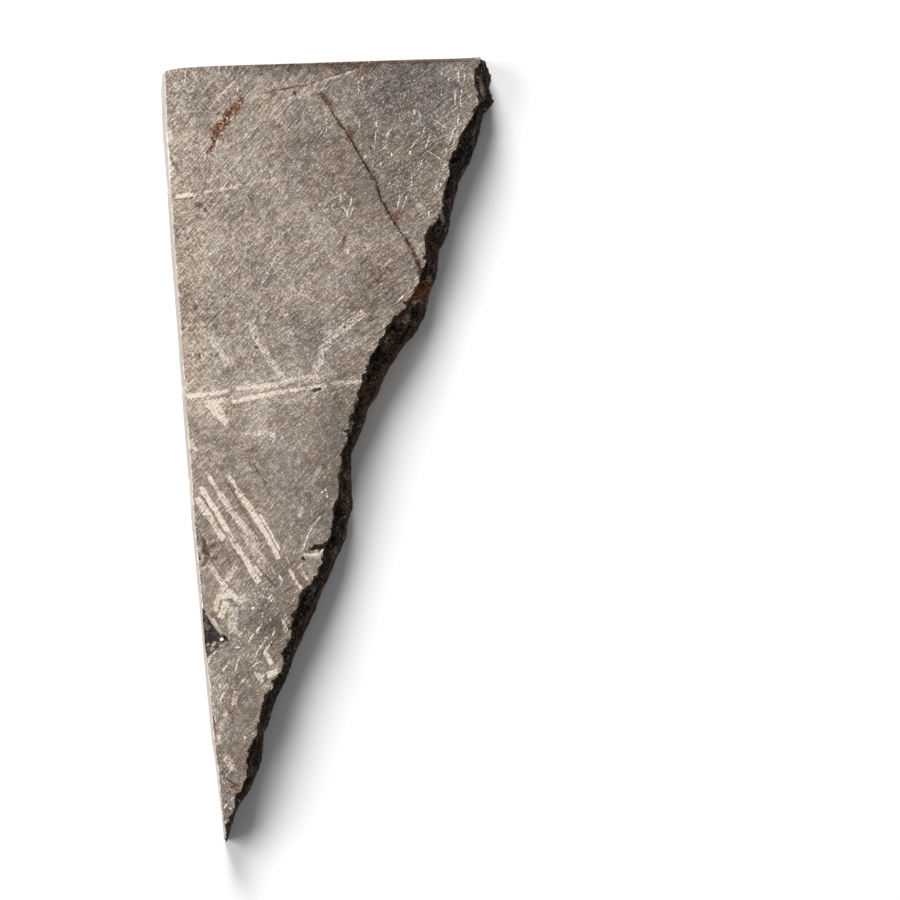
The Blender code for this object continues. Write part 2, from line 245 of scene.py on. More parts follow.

# Thin scratches and inclusions, painted bright up to white: partly their own paler colour, partly painted
# highlights for the glints they give
FLECK_GLINTS = [
    (219, 65.6, 219, 72.6, 1.6, 0.2), (441.6, 70.6, 441.6, 74.8, 1.4, 0.24),
    (185.6, 71, 185.2, 80.4, 1.5, 0.18), (458.5, 71, 458.5, 81.4, 1.5, 0.36),
    (464.5, 73.6, 464.5, 79.2, 1.5, 0.32), (362.4, 76.6, 362.6, 79.4, 2, 0.18),
    (448.6, 76.4, 448.6, 81, 1.6, 0.34), (376.5, 77.4, 376.5, 80.4, 1.8, 0.16),
    (204.9, 77.4, 204.9, 82.4, 1.5, 0.14), (358.6, 80.8, 358.8, 83.4, 2.4, 0.34),
    (222, 94, 240, 75, 1.4, 0.14), (363.9, 84, 363.9, 88.8, 1.5, 0.16),
    (237.4, 86, 237.6, 91.2, 1.8, 0.2), (358.8, 87.6, 358.6, 92.4, 2, 0.16),
    (461.7, 90, 461.4, 95, 1.6, 0.36), (441.3, 91, 441.3, 94.4, 1.6, 0.28),
    (245, 97.4, 248.4, 93.8, 2, 0.2), (455.2, 91.6, 454.8, 104, 1.4, 0.3),
    (476.7, 96.6, 476.7, 104, 1.3, 0.22), (460.3, 96.8, 460.8, 106.6, 1.5, 0.36),
    (413.9, 110, 414.4, 114.2, 2.6, 0.4), (418.6, 112, 420.6, 116.8, 1.8, 0.34),
    (458.4, 114.6, 457.4, 124.2, 1.5, 0.24), (194, 115.7, 195, 126, 1.3, 0.12),
    (432.7, 118.9, 444.6, 126.8, 1.3, 0.14), (325.5, 113, 326.9, 134, 1.5, 0.12),
    (376.5, 120.8, 376.5, 126.6, 1.7, 0.34), (359.3, 122, 359.3, 127, 1.3, 0.24),
    (252.4, 129, 265.8, 124, 1.3, 0.16), (425, 127.4, 421.6, 137, 1.4, 0.28),
    (243.9, 137.4, 252.6, 128.7, 1.4, 0.22), (389.5, 130, 386.5, 137, 3, 0.16),
    (455, 127.4, 449, 142.4, 1.4, 0.34), (458.2, 132.9, 453, 144.4, 1.3, 0.18),
    (375.9, 131, 374.4, 146.4, 1.3, 0.18), (429.5, 136.4, 426.2, 146.8, 1.5, 0.34),
    (186.4, 148.2, 202.7, 136, 1.4, 0.12), (415.4, 141.4, 411, 148.6, 2, 0.2),
    (384, 148.6, 388, 144, 2.6, 0.2), (446.6, 149, 446.4, 152.6, 2.2, 0.36),
    (410.3, 151, 410.3, 154.6, 2.2, 0.3), (420.6, 157.4, 427.8, 150.6, 1.2, 0.1),
    (391.8, 152.8, 391.6, 156.4, 2, 0.28), (364.2, 154.2, 365.8, 157.4, 2.4, 0.2),
    (427.6, 150.6, 443.4, 161.3, 1.4, 0.17), (421.9, 160.6, 420.4, 165.4, 1.9, 0.36),
    (381.6, 161.6, 380.2, 165.2, 2, 0.38), (445.6, 162, 441.2, 173, 1.3, 0.12),
    (411.7, 177, 411.5, 183.4, 1.4, 0.2), (440.6, 182.4, 440.8, 186, 3, 0.18),
    (437.2, 183.4, 434.4, 190.8, 1.6, 0.36), (340.5, 193.6, 340.5, 201, 1.8, 0.3),
    (351.9, 197.4, 350.2, 205, 1.6, 0.26), (399.6, 196, 397.4, 207.6, 1.6, 0.36),
    (406.6, 196, 402.4, 209, 1.6, 0.3), (331.8, 205, 332.6, 208.6, 2, 0.22),
    (352.3, 207.8, 351, 213.8, 1.5, 0.2), (344.2, 208.8, 348.6, 215, 1.9, 0.34),
    (428.8, 211.2, 428.8, 214.6, 2, 0.34), (347.9, 210.4, 347, 217.4, 1.7, 0.3),
    (349.2, 248, 346.8, 254, 2.4, 0.22), (384.9, 264.7, 391.4, 259.2, 1.8, 0.2),
    (276, 255.5, 259.4, 290, 1.7, 0.18), (398, 301.8, 402.6, 295.8, 2, 0.3),
    (348.4, 340, 349, 342.6, 3, 0.2), (375, 352, 381, 343, 1.5, 0.16),
    (247.7, 431, 245.4, 436, 1.8, 0.22), (260.6, 431, 258.8, 436.4, 1.8, 0.22),
    (274.3, 432, 273.6, 436.8, 2, 0.26), (325.2, 488.6, 326.2, 490.8, 2.4, 0.32),
    (321, 493.4, 322.4, 491.6, 2, 0.26), (327, 494, 327, 499, 1.8, 0.18),
    (320.6, 516.7, 315.5, 521.8, 1.4, 0.32), (315.5, 521.8, 313.2, 526.4, 1.5, 0.36),
    (313.2, 526.4, 307.4, 535.6, 1.5, 0.36), (307.4, 535.6, 306.2, 540.4, 2, 0.38),
    (306.2, 540.4, 302.6, 551, 1.6, 0.28), (301.9, 564, 298, 568.2, 2.2, 0.36),
    (279.4, 576, 280.8, 578.8, 2.6, 0.34), (282, 580, 280, 586, 1.6, 0.22),
    (258.9, 592.3, 266.9, 598.8, 1.3, 0.2), (268, 598.6, 271.6, 595.2, 2, 0.36),
    (270.3, 601.8, 272, 599.8, 2.6, 0.38), (292.5, 603.8, 293.8, 598.8, 1.7, 0.32),
    (256.2, 601.8, 256.2, 604.6, 1.7, 0.26), (251.8, 609, 254, 607, 2.6, 0.4),
    (262.7, 612.4, 262.3, 617, 1.8, 0.3), (270.3, 621, 270.7, 618.4, 2.2, 0.24),
    (261.4, 624.8, 256, 632, 2, 0.38), (275.1, 629.6, 272.6, 635.3, 2.4, 0.34),
    (244.2, 631.2, 237, 636, 1.5, 0.2), (253.2, 633.8, 251.2, 637.6, 1.9, 0.3),
    (251.2, 637.4, 248.5, 642.2, 2.1, 0.36), (272, 641.2, 267.1, 648.4, 1.8, 0.32),
    (265.9, 639.8, 257.7, 650.6, 1.6, 0.3), (236.6, 648, 239, 646.8, 2.9, 0.4),
    (257.8, 650.2, 255.7, 655.8, 1.7, 0.3), (216, 651.8, 211.6, 655.2, 1.9, 0.34),
    (211.8, 655, 209, 658.4, 2.2, 0.38), (236.8, 661.8, 239.2, 659.2, 2.9, 0.4),
    (209.1, 658, 208.3, 663.4, 2.4, 0.34), (230.4, 660.8, 225.4, 666.8, 2.1, 0.3),
    (260, 661.2, 251.4, 667.1, 1.8, 0.36), (237.2, 663.8, 235.4, 669.6, 2.5, 0.38),
    (224.6, 667.6, 222.1, 672.2, 2.3, 0.3), (210.3, 669, 210.3, 672, 2, 0.2),
    (229.4, 677.4, 229.4, 680, 2, 0.34), (210.6, 681, 210.8, 687, 1.6, 0.16),
    (219.9, 684.4, 219.9, 688, 2.6, 0.34), (224.3, 692, 220, 700.6, 2.1, 0.36),
    (265.5, 696, 262.5, 701, 2.6, 0.26), (212.6, 701, 212.6, 704, 1.8, 0.3),
    (214.9, 715.5, 215.9, 731, 1.6, 0.2), (244, 735.8, 245, 738.4, 3, 0.22),
    (230.2, 771.2, 225.8, 776.4, 2.1, 0.3), (228.3, 787.8, 236, 792.2, 1.5, 0.22),
    (234.8, 795.6, 231.8, 800.6, 2, 0.18), (227, 803.8, 223.8, 808.8, 2, 0.4),
    (228.8, 807.8, 231.2, 808.6, 2, 0.3), (225.4, 820.6, 225.4, 822.8, 2, 0.14),
]

# Thin dark lines between bands, and dark spots
DARK_LINES = [
    (333, 160, 352, 149, 1.4, 0.07), (170.2, 155.6, 174.5, 164.5, 2.4, 0.22),
    (174.5, 164.5, 181, 175.5, 2.4, 0.17), (228, 192.4, 250, 193, 1.2, 0.06),
    (208.6, 194.4, 228, 192.4, 1.2, 0.08), (174.5, 200.3, 191.5, 198, 1.4, 0.14),
    (396.5, 246, 412, 236.5, 1.4, 0.1), (376, 252, 392, 241, 1.4, 0.1),
    (338, 276, 347.4, 268.6, 1.4, 0.14), (244, 300, 262, 286, 1.3, 0.08), (281, 327, 302, 312, 1.3, 0.08),
    (287.4, 339.7, 298, 332, 1.3, 0.1), (305, 343.4, 319, 334, 1.4, 0.14),
    (336, 372, 352, 360, 1.3, 0.08), (254.3, 384.3, 280, 379, 1.3, 0.12),
    (273.4, 390, 304, 380.4, 1.2, 0.09), (322.7, 388.8, 328.8, 383.3, 0.6, 0.05),
    (187, 392.6, 197, 388, 1.4, 0.1), (246.6, 394.5, 273.4, 390, 1.2, 0.09),
    (208, 399.6, 228, 396.2, 1.4, 0.18), (250, 450.8, 258.4, 446, 1.3, 0.1),
    (241.6, 451.3, 250, 450.8, 1.5, 0.14), (248.9, 461.8, 251.4, 468.4, 1.3, 0.14),
    (300, 470, 303, 462, 1.2, 0.08), (253.4, 463, 260.4, 475.9, 1.4, 0.18),
    (260.4, 475.9, 267.4, 486.6, 1.3, 0.16), (225.2, 478.6, 244, 512, 1.3, 0.15),
    (199, 493, 219, 521, 1.4, 0.17), (239, 502, 246, 512, 1.2, 0.08), (244, 512, 262.7, 545, 1.3, 0.15),
    (266.6, 527, 273, 539, 1.2, 0.1), (260.2, 517.2, 279, 551.8, 1.2, 0.12),
    (219, 521, 239, 549, 1.4, 0.17), (230, 545, 245, 566, 1.3, 0.12), (236, 566, 228, 578, 1.2, 0.08),
    (262.6, 572, 274, 585.4, 1.5, 0.18), (226, 590, 228, 588, 2.4, 0.16), (225, 593.6, 227, 596, 3, 0.14),
    (221.4, 604, 217, 618, 1.3, 0.14), (285.3, 620.4, 288.4, 625, 1.8, 0.22),
    (216.2, 618.8, 223.4, 633, 1.5, 0.2), (224.2, 778.2, 240.4, 787, 1.5, 0.26),
]
DARK_SPOTS = [
    (294.4, 91.4, 295.8, 95.4, 3, 0.22), (214.6, 140.6, 214.8, 143.4, 3, 0.24),
    (214, 145, 208.4, 151, 2.8, 0.24), (208, 151, 207, 159, 2, 0.14), (350, 186, 345, 190, 4, 0.08),
    (248.2, 196, 253.7, 202.4, 3, 0.1), (361, 197, 356, 208, 7, 0.07), (196, 203, 202, 206, 6, 0.12),
    (309.5, 207, 312.5, 211, 4, 0.1), (203.6, 208, 206.6, 213, 4, 0.12), (341.6, 246, 347, 234, 5, 0.12),
    (224, 295.6, 224.6, 297, 2.6, 0.18), (344, 326, 346, 328, 3, 0.14),
    (256.2, 334.8, 256.4, 338.4, 3, 0.17), (254.6, 347, 258.8, 347.8, 2.8, 0.16),
    (199, 353, 200.4, 358.6, 2.6, 0.16), (318.5, 389.4, 321.5, 388.8, 3, 0.32),
    (311, 391, 321, 389, 3.6, 0.24), (344, 431.2, 351, 430.4, 3.4, 0.36), (237, 470, 232, 466, 3, 0.06),
    (205.5, 541, 202, 552, 3.6, 0.22), (311, 548.6, 328, 545.6, 5, 0.42),
    (301.6, 558.2, 305.4, 559.8, 3, 0.34), (224.8, 636.6, 227.6, 640.4, 3, 0.4),
    (262.6, 650, 262, 652, 2.4, 0.2), (207.6, 650, 206.8, 656, 2.6, 0.4),
]

# Rust stains, and thin brown lines: the fissure near the short side and one at the crack's lower end;
# the last line, along the short side, is painted shade of that edge
RUST_STAINS = [
    (352, 64.6, 361, 67.6, 4, 0.9), (321.4, 94, 331, 107, 4.6, 0.9), (328, 104, 332.5, 99.6, 3.6, 0.6),
    (350.6, 127.4, 348.4, 139, 4.6, 0.9), (354, 131, 350, 139.6, 3.4, 0.8),
    (448.6, 148, 452.6, 140, 3, 0.5), (333, 173.4, 333.4, 177, 4.4, 0.4), (390, 219, 401, 213, 6, 1),
    (396.6, 213, 395, 224, 4.6, 0.9), (380.4, 219.6, 383.6, 219.4, 3, 0.5),
    (432, 226, 437, 217, 3.4, 0.5), (360.4, 263.7, 367.6, 259.6, 2, 0.5),
    (385, 267.6, 391.6, 270, 4.4, 0.8), (418.6, 268, 421.6, 278, 4.4, 0.8),
    (419.6, 276, 423.4, 282, 3, 0.6), (201, 536, 206, 546, 4, 0.6), (210, 548, 219, 541.6, 3.4, 0.7),
    (204, 547, 209, 555, 6, 1), (198.6, 556, 200.4, 559.4, 3, 0.9), (209, 556.6, 218, 559, 3.2, 0.8),
    (209, 555, 203, 565, 4.4, 0.9), (284, 603, 296, 606, 2.4, 0.4), (236, 709, 228, 712, 5, 0.3),
    (213.3, 715.4, 215.1, 733, 1.9, 1), (230.6, 786, 237.6, 789.4, 6, 0.3),
]
FISSURES_AND_EDGE_SHADE = [
    (264.5, 93, 277.5, 90.3, 1.4, 0.7), (277.5, 90.3, 295, 86.3, 1.5, 0.8),
    (295, 86.3, 307, 84.6, 1.5, 0.7), (307, 84.6, 318, 80.8, 1.4, 0.7), (318, 80.8, 334, 75.7, 1.4, 0.5),
    (334, 75.7, 357, 67.4, 1.5, 0.7), (357, 67.4, 394, 61, 1.5, 0.6),
    (404.6, 236.6, 408.4, 242.6, 1.4, 0.8), (408.4, 242.6, 413.6, 250, 1.5, 0.8),
    (413.6, 250, 418.8, 261, 1.4, 0.8), (418.8, 261, 420.8, 273, 1.5, 0.8),
    # Painted shade along the short side's edge, in the same brown
    (255, 66.4, 480, 60.8, 1.4, 0.5),
]

# Broad lighter and darker parts of the face: partly its own tone, partly painted light and painted shade for
# how the light falls across it, lighter on the left and darker towards the top right
LIGHTER = [
    (200, 140, 225, 180, 40, 0.05), (172, 100, 178, 250, 40, 0.06), (190, 215, 235, 300, 70, 0.06),
    (185, 340, 230, 430, 60, 0.1), (220, 400, 300, 385, 60, 0.08), (232, 350, 236, 440, 44, 0.075),
    (225, 425, 270, 425, 50, 0.07), (190, 455, 250, 470, 50, 0.03), (186, 460, 192, 480, 40, 0.04),
    (204, 650, 222, 740, 26, 0.05),
]
DARKER = [
    (230, 58, 480, 53, 40, 0.27), (340, 85, 470, 90, 110, 0.17), (405, 135, 450, 150, 70, 0.19),
    (270, 130, 340, 170, 80, 0.07), (362, 100, 400, 225, 130, 0.14), (350, 330, 405, 255, 70, 0.12),
    (295, 325, 335, 355, 36, 0.05), (352, 365, 325, 520, 56, 0.13), (300, 480, 325, 520, 60, 0.06),
    (262, 565, 300, 600, 50, 0.08), (290, 585, 262, 655, 60, 0.12), (262, 655, 240, 740, 50, 0.06),
    (242, 745, 226, 800, 46, 0.12), (225, 800, 227, 840, 30, 0.13), (225, 836, 226, 846, 12, 0.4),
]

# Parts of the face with a blue cast, and with a brown one
COOL = [
    (250, 70, 300, 70, 22, 0.8), (340, 70, 465, 110, 100, 0.8), (300, 105, 320, 145, 26, 0.8),
    (339, 279, 348, 286, 8, 1), (290, 350, 345, 330, 56, 0.6), (335, 405, 345, 465, 18, 0.7),
    (280, 440, 325, 545, 50, 0.6), (235, 600, 240, 628, 14, 1),
]
BROWN = [
    (395, 105, 425, 105, 28, 0.4), (250, 110, 285, 110, 28, 0.4), (341, 246, 347, 234, 8, 1),
    (365, 290, 395, 250, 30, 0.3), (178, 150, 200, 460, 40, 0.5), (178, 330, 186, 390, 9, 0.9),
    (229.5, 784, 238, 791, 7, 1),
]

# Parts of the face where painted glints are laid
SPARKLING = [
    (345, 80, 450, 130, 70, 0.8), (370, 130, 420, 200, 60, 0.7), (215, 160, 225, 180, 20, 0.4),
    (330, 190, 355, 215, 26, 1), (190, 470, 200, 600, 16, 0.6), (240, 590, 285, 600, 40, 1),
    (235, 640, 270, 640, 50, 0.9), (222, 670, 230, 720, 30, 0.8), (218, 740, 228, 810, 16, 0.8),
]

# Weak plates all over the face: their way in degrees, how many times longer than wide they are, their
# size in pixels and their strength
PLATES = ((58, 7.0, 5.0, 0.055), (-10, 9.0, 4.5, 0.045), (-37, 7.0, 6.0, 0.045))

# How far the plates lean to the right and down on their way through the slice, as shares of the depth
PLATE_LEAN = (0.35, 0.2)

# Ways that the face's texture runs, in degrees from the photograph's x towards its y
STEEP = -50
SHALLOW = -36
CROSSING = 47
CLUMPED = -45
GLINTING = -62
# Way of the painted highlight lines along the scratches
NICK_HIGHLIGHTS = -47

# Where the face's and the sides' looks change: the column or row where a change starts, and where it is
# full. SHALLOW_RIGHT is measured on a slant, in 0.8 of the column and 0.35 of the row.
SHALLOW_RIGHT = (290, 400)
SHALLOW_ROWS = (470, 400)
WEAKER_ROWS = (330, 460)
CROSSED_COLUMNS = (270, 190)
UNCROSSED_ROWS = (390, 470)
DULL_ROWS = (400, 460)
ARRIS_HIGHLIGHT_ROWS = (70, 80)
SHADED_SIDE_COLUMNS = (390, 450)
BROWN_ROWS = (180, 260)
RUSTY_CRACK_COLUMNS = (394, 404)

# Worn brown parts of the crust: the middle row and half width, the strength, and the shares of the
# thickness where it starts and is full
WORN_CRUST = ((388, 34, 1.0, 0.65, 0.3), (470, 60, 0.4, 0.5, 0.2), (293, 9, 0.8, 2.0, 1.0))

# Ramps of colours from dark to bright
FACE_TONES = [
    (0.0, (20, 17, 15)), (0.2, (88, 77, 68)), (0.5, (154, 140, 128)),
    (0.62, (194, 180, 167)), (0.76, (236, 223, 209)), (1.0, (255, 250, 242)),
]
SAWN_TONES = [
    (0.0, (20, 18, 16)), (0.35, (100, 92, 85)), (0.6, (160, 150, 141)), (1.0, (240, 232, 222)),
]
CRUST_TONES = [
    (0.2, (9, 7, 6)), (0.42, (30, 25, 21)), (0.6, (76, 65, 57)), (0.78, (126, 112, 100)),
    (1.0, (186, 170, 154)),
]
WORN_TONES = [(0.3, (50, 28, 16)), (0.5, (98, 59, 36)), (0.7, (154, 103, 68))]
BROKEN_TONES = [
    (0.25, (30, 23, 20)), (0.5, (62, 51, 44)), (0.68, (100, 86, 75)), (0.85, (150, 136, 122)),
]
RUST_TONES = [
    (0.36, (30, 19, 13)), (0.48, (78, 47, 28)), (0.58, (126, 79, 48)), (0.76, (196, 148, 114)),
]

# Colours laid over them
BLUE_CAST = (234, 242, 255)
BROWN_CAST = (255, 236, 212)
SPOT_BROWN = (62, 45, 29)
EDGE_BROWN = (50, 38, 29)
FISSURE_AND_SHADE_BROWN = (92, 66, 44)
CRACK_BROWN = (72, 50, 34)
CRACK_RUST = (96, 60, 38)
STAIN_DARK = (28, 17, 11)
STAIN_LIGHT = (134, 76, 46)
CRUST_RUST = (82, 56, 38)
CRUST_PALE = (172, 156, 140)
LEDGE_PALE = (190, 179, 168)
HOLLOW_SHADE = (30, 23, 22)
BEAD_HIGHLIGHT = (228, 220, 210)

# Places and sizes of the soft lights
KEY_LIGHT = ((-0.226, 1.279, 0.75), 0.75)
FILL_LIGHT = ((-1.272, 0.0, 0.795), 1.6)
RIM_LIGHT = ((1.0, -0.5, 0.16), 0.3)


def place(x, y):
    """The slice's x and y of a pixel of the photograph."""
    return Vector(((x - MIDDLE_COLUMN) * PIXEL, (MIDDLE_ROW - y) * PIXEL))


def column_of(x):
    """The photograph's column of an x of the slice, which may be a node's."""
    return x * (1 / PIXEL) + MIDDLE_COLUMN


def row_of(y):
    """The photograph's row of a y of the slice, which may be a node's."""
    return y * (-1 / PIXEL) + MIDDLE_ROW


def ripple(point, length):
    """Smooth noise from -1 to 1 at a point, with waves of a length in millimetres."""
    return noise.noise(point / (length * MM))


def drift(point, length, reach):
    """A smooth random shift at a point, with waves of a length and of up to a reach, in millimetres."""
    return noise.noise_vector(point / (length * MM)) * reach * MM


def linear(red, green, blue):
    """A screen's colour as a socket's colour."""
    parts = [part / 255 for part in (red, green, blue)]
    return [p / 12.92 if p <= 0.04045 else ((p + 0.055) / 1.055) ** 2.4 for p in parts] + [1.0]


class SliceSizes(bpy.types.PropertyGroup):
    """Sizes of the slice's fine shape."""

    arris: FloatProperty(
        name="Arris", description="Width of the bevel on the sawn edges", default=0.0001, unit="LENGTH",
    )
    cell: FloatProperty(
        name="Cell", description="Spacing of the face's mesh away from its marks", default=0.0015,
        unit="LENGTH",
    )
    fine_cell: FloatProperty(
        name="Fine cell", description="Spacing of the face's mesh at its marks", default=0.00013,
        unit="LENGTH",
    )
    crust_cuts: IntProperty(
        name="Crust cuts", description="Cuts across each facet of the crust", default=3,
    )
    knob_size: FloatProperty(
        name="Knob size", description="Size of the crust's knobs", default=0.0016, unit="LENGTH",
    )
    knob_height: FloatProperty(
        name="Knob height", description="Height of the crust's knobs", default=0.00038, unit="LENGTH",
    )
    grit_size: FloatProperty(
        name="Grit size", description="Size of the crust's grit", default=0.0005, unit="LENGTH",
    )
    grit_height: FloatProperty(
        name="Grit height", description="Height of the crust's grit", default=0.00020, unit="LENGTH",
    )
    ragged: FloatProperty(
        name="Ragged", description="How far the face's edge wanders along the crust", default=0.00015,
        unit="LENGTH",
    )
    grain_height: FloatProperty(
        name="Grain height", description="Height of the rust's grains", default=0.00012, unit="LENGTH",
    )


class StageLook(bpy.types.PropertyGroup):
    """The floor, the lights and the camera."""

    floor_colour: FloatVectorProperty(
        name="Floor colour", description="Colour of the floor", subtype="COLOR", default=(0.9, 0.9, 0.9),
    )
    floor_size: FloatProperty(
        name="Floor size", description="Length of the floor's sides", default=6.0, unit="LENGTH",
    )
    camera_height: FloatProperty(
        name="Camera height", description="Height of the camera over the face", default=2.5, unit="LENGTH",
    )
    key_power: FloatProperty(
        name="Key power", description="Power of the key light", default=32.0, unit="POWER",
    )
    fill_power: FloatProperty(
        name="Fill power", description="Power of the broad light on the left", default=22.0, unit="POWER",
    )
    rim_power: FloatProperty(
        name="Rim power", description="Power of the low light on the crust", default=0.4, unit="POWER",
    )
    world_strength: FloatProperty(
        name="World strength", description="Light from all round", default=0.234,
    )


def select_only(thing):
    """Leaves one object selected and active."""
    bpy.ops.object.select_all(action="DESELECT")
    thing.select_set(True)
    bpy.context.view_layer.objects.active = thing


def pick_faces(piece, test):
    """Selects the faces that pass a test, in edit mode."""
    mesh = bmesh.from_edit_mesh(piece.data)
    for face in mesh.faces:
        face.select_set(False)
    for face in [face for face in mesh.faces if test(face)]:
        face.select_set(True)
    bmesh.update_edit_mesh(piece.data)


def nearest_gap(points, rows):
    """How far points lie from the nearest mark of a table in the face's plane: negative inside a mark."""
    best = np.full(len(points), 1.0)
    for x0, y0, x1, y1, width, *strength in rows:
        start, end = np.array(place(x0, y0)), np.array(place(x1, y1))
        run = end - start
        share = np.clip((points - start) @ run / max(run @ run, 1e-12), 0.0, 1.0)
        gap = np.linalg.norm(points - start - share[:, None] * run, axis=1)
        best = np.minimum(best, gap - width / 2 * PIXEL)
    return best


def crack_rows():
    """The crack as a table of marks without a width."""
    return [(*start, *end, 0.0) for start, end in zip(CRACK, CRACK[1:])]


def is_level(face):
    """Whether a face lies in the etched face or the underside."""
    heights = [vert.co.z for vert in face.verts]
    return abs(face.normal.z) > 0.9999 and all(min(abs(z), abs(z - THICKNESS)) < 1e-6 for z in heights)


def is_chipped(face):
    """Whether a face lies in the chip and not in the sawn side around it."""
    centre = face.calc_center_median()
    near = (centre.xy - place(*CHIP)).length < CHIP_RADIUS and centre.z > THICKNESS - CHIP_DEPTH
    return near and (abs(face.normal.z) > 0.3 or abs(face.normal.y) > 0.35)


def sort_faces(mesh):
    """Gives each face of the copied solid its material."""
    points = np.array([v.co.xy for v in mesh.verts])
    in_crack = nearest_gap(points, crack_rows()) < 0.1 * MM
    for vert, inside in zip(mesh.verts, in_crack):
        vert.tag = bool(inside) and abs(vert.co.z - THICKNESS + CRACK_DEPTH) < TOUCH
    for face in mesh.faces:
        if is_level(face):
            face.material_index = FACE
        elif is_chipped(face) or any(v.tag for v in face.verts):
            face.material_index = BROKEN
        elif face.normal.x > 0.2 or row_of(face.calc_center_median().y) > CRUSTED_TIP:
            face.material_index = CRUST
        else:
            face.material_index = SAWN


def copy_solid(name):
    """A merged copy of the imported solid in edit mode, with its faces sorted by material."""
    data = frame["nodes"][NODE].data.copy()
    data.name = name
    data.materials.clear()
    piece = bpy.data.objects.new(name, data)
    bpy.context.collection.objects.link(piece)
    select_only(piece)
    bpy.ops.object.mode_set(mode="EDIT")
    bpy.ops.mesh.select_all(action="SELECT")
    bpy.ops.mesh.remove_doubles(threshold=1e-6)
    mesh = bmesh.from_edit_mesh(data)
    sort_faces(mesh)
    bmesh.update_edit_mesh(data)
    return piece


def face_kinds(edge):
    """The materials of the faces at an edge."""
    return {face.material_index for face in edge.link_faces}


def break_arrises(piece, width):
    """Bevels the sawn edges of the etched face and the underside."""
    bpy.ops.mesh.select_mode(type="EDGE")
    mesh = bmesh.from_edit_mesh(piece.data)
    for edge in mesh.edges:
        edge.select_set(face_kinds(edge) == {FACE, SAWN})
    bmesh.update_edit_mesh(piece.data)
    bpy.ops.mesh.bevel(offset=width, segments=1, affect="EDGES", clamp_overlap=False, material=SAWN)
    bpy.ops.mesh.select_mode(type="FACE")
    mesh = bmesh.from_edit_mesh(piece.data)
    for face in mesh.faces:
        if face.material_index == FACE and not is_level(face):
            face.material_index = SAWN
    bmesh.update_edit_mesh(piece.data)


def grid_level_faces(piece, cell):
    """Cuts the etched face and the underside into cells, and the cells into triangles."""
    pick_faces(piece, is_level)
    bpy.ops.mesh.dissolve_limited(angle_limit=0.001)
    pick_faces(piece, is_level)
    for axis in (0, 1):
        for n in range(1, int((HIGH[axis] - LOW[axis]) / cell) + 1):
            spot, normal = [0.0, 0.0, 0.0], [0.0, 0.0, 0.0]
            spot[axis], normal[axis] = LOW[axis] + n * cell, 1.0
            pick_faces(piece, is_level)
            bpy.ops.mesh.bisect(plane_co=spot, plane_no=normal)
    pick_faces(piece, is_level)
    bpy.ops.mesh.quads_convert_to_tris(quad_method="BEAUTY", ngon_method="BEAUTY")


def round_rims(piece, times):
    """Rounds the corners of the crust's upper and lower edges within their planes."""
    mesh = bmesh.from_edit_mesh(piece.data)
    beside = {}
    for edge in mesh.edges:
        if face_kinds(edge) == {FACE, CRUST}:
            for vert in edge.verts:
                beside.setdefault(vert, []).append(edge.other_vert(vert))
    for step in range(times):
        middles = {vert: (ends[0].co + ends[1].co) / 2 for vert, ends in beside.items() if len(ends) == 2}
        for vert, middle in middles.items():
            vert.co.xy = vert.co.xy.lerp(middle.xy, 0.5)
    bmesh.update_edit_mesh(piece.data)


def divide_crust(piece, cuts):
    """Cuts the crust's facets finer, rounds its edges and smooths what lies between them."""
    pick_faces(piece, lambda face: face.material_index == CRUST)
    bpy.ops.mesh.subdivide(number_cuts=cuts, ngon=False)
    round_rims(piece, 5)
    pick_faces(piece, lambda face: face.material_index == CRUST)
    bpy.ops.mesh.select_mode(type="VERT")
    bpy.ops.mesh.select_less()
    bpy.ops.mesh.vertices_smooth(factor=0.5, repeat=3)
    bpy.ops.mesh.select_mode(type="FACE")
    pick_faces(piece, lambda face: len(face.verts) > 3)
    bpy.ops.mesh.quads_convert_to_tris(quad_method="BEAUTY", ngon_method="BEAUTY")


def read_all(items, name, kind=float, width=1):
    """One value of every vertex, edge, face or corner of a mesh, as an array."""
    values = np.empty(len(items) * width, kind)
    items.foreach_get(name, values)
    return values.reshape(-1, width) if width > 1 else values


def vertex_arrays(data):
    """A mesh's vertex places, and for each material whether a vertex touches its faces."""
    corners = read_all(data.loops, "vertex_index", int)
    counts = read_all(data.polygons, "loop_total", int)
    corner_kinds = np.repeat(read_all(data.polygons, "material_index", int), counts)
    touches = np.zeros((4, len(data.vertices)), bool)
    for kind in range(4):
        touches[kind, corners[corner_kinds == kind]] = True
    return read_all(data.vertices, "co", width=3), touches


def wanted_lengths(middles, touches, ends, fine_cell):
    """How long each edge may be, from the marks that lie near its middle."""
    flat, z = middles[:, :2], middles[:, 2]
    marks = [(x, y, x + 0.01, y, 2 * radius) for x, y, radius, depth in PITS] + RUST_GRAINS
    marks += [(*BEAD, BEAD[0] + 0.01, BEAD[1], 2 * BEAD_RADIUS / PIXEL)]
    bites = [(x, y, x + 0.01, y, 4 * depth) for x, y, depth in BITES]
    wanted = np.maximum(fine_cell, 0.6 * nearest_gap(flat, marks))
    wanted = np.minimum(wanted, np.maximum(BITE_CELL, 0.8 * nearest_gap(flat, bites)))
    wanted = np.where(z > THICKNESS - CHIP_DEPTH, wanted, 1.0)
    broken = touches[BROKEN][ends].all(axis=1)
    broken_cell = np.where(nearest_gap(flat, crack_rows()) < CRACK_REACH, CRACK_CELL, CHIP_CELL)
    wanted = np.where(broken, np.minimum(wanted, broken_cell), wanted)
    crusted = touches[CRUST][ends].all(axis=1)
    on_rim = crusted & touches[FACE][ends].all(axis=1)
    wanted = np.where(on_rim & (z > THICKNESS - TOUCH), np.minimum(wanted, RIM_CELL), wanted)
    return np.where(crusted & ~on_rim, 1.0, wanted)


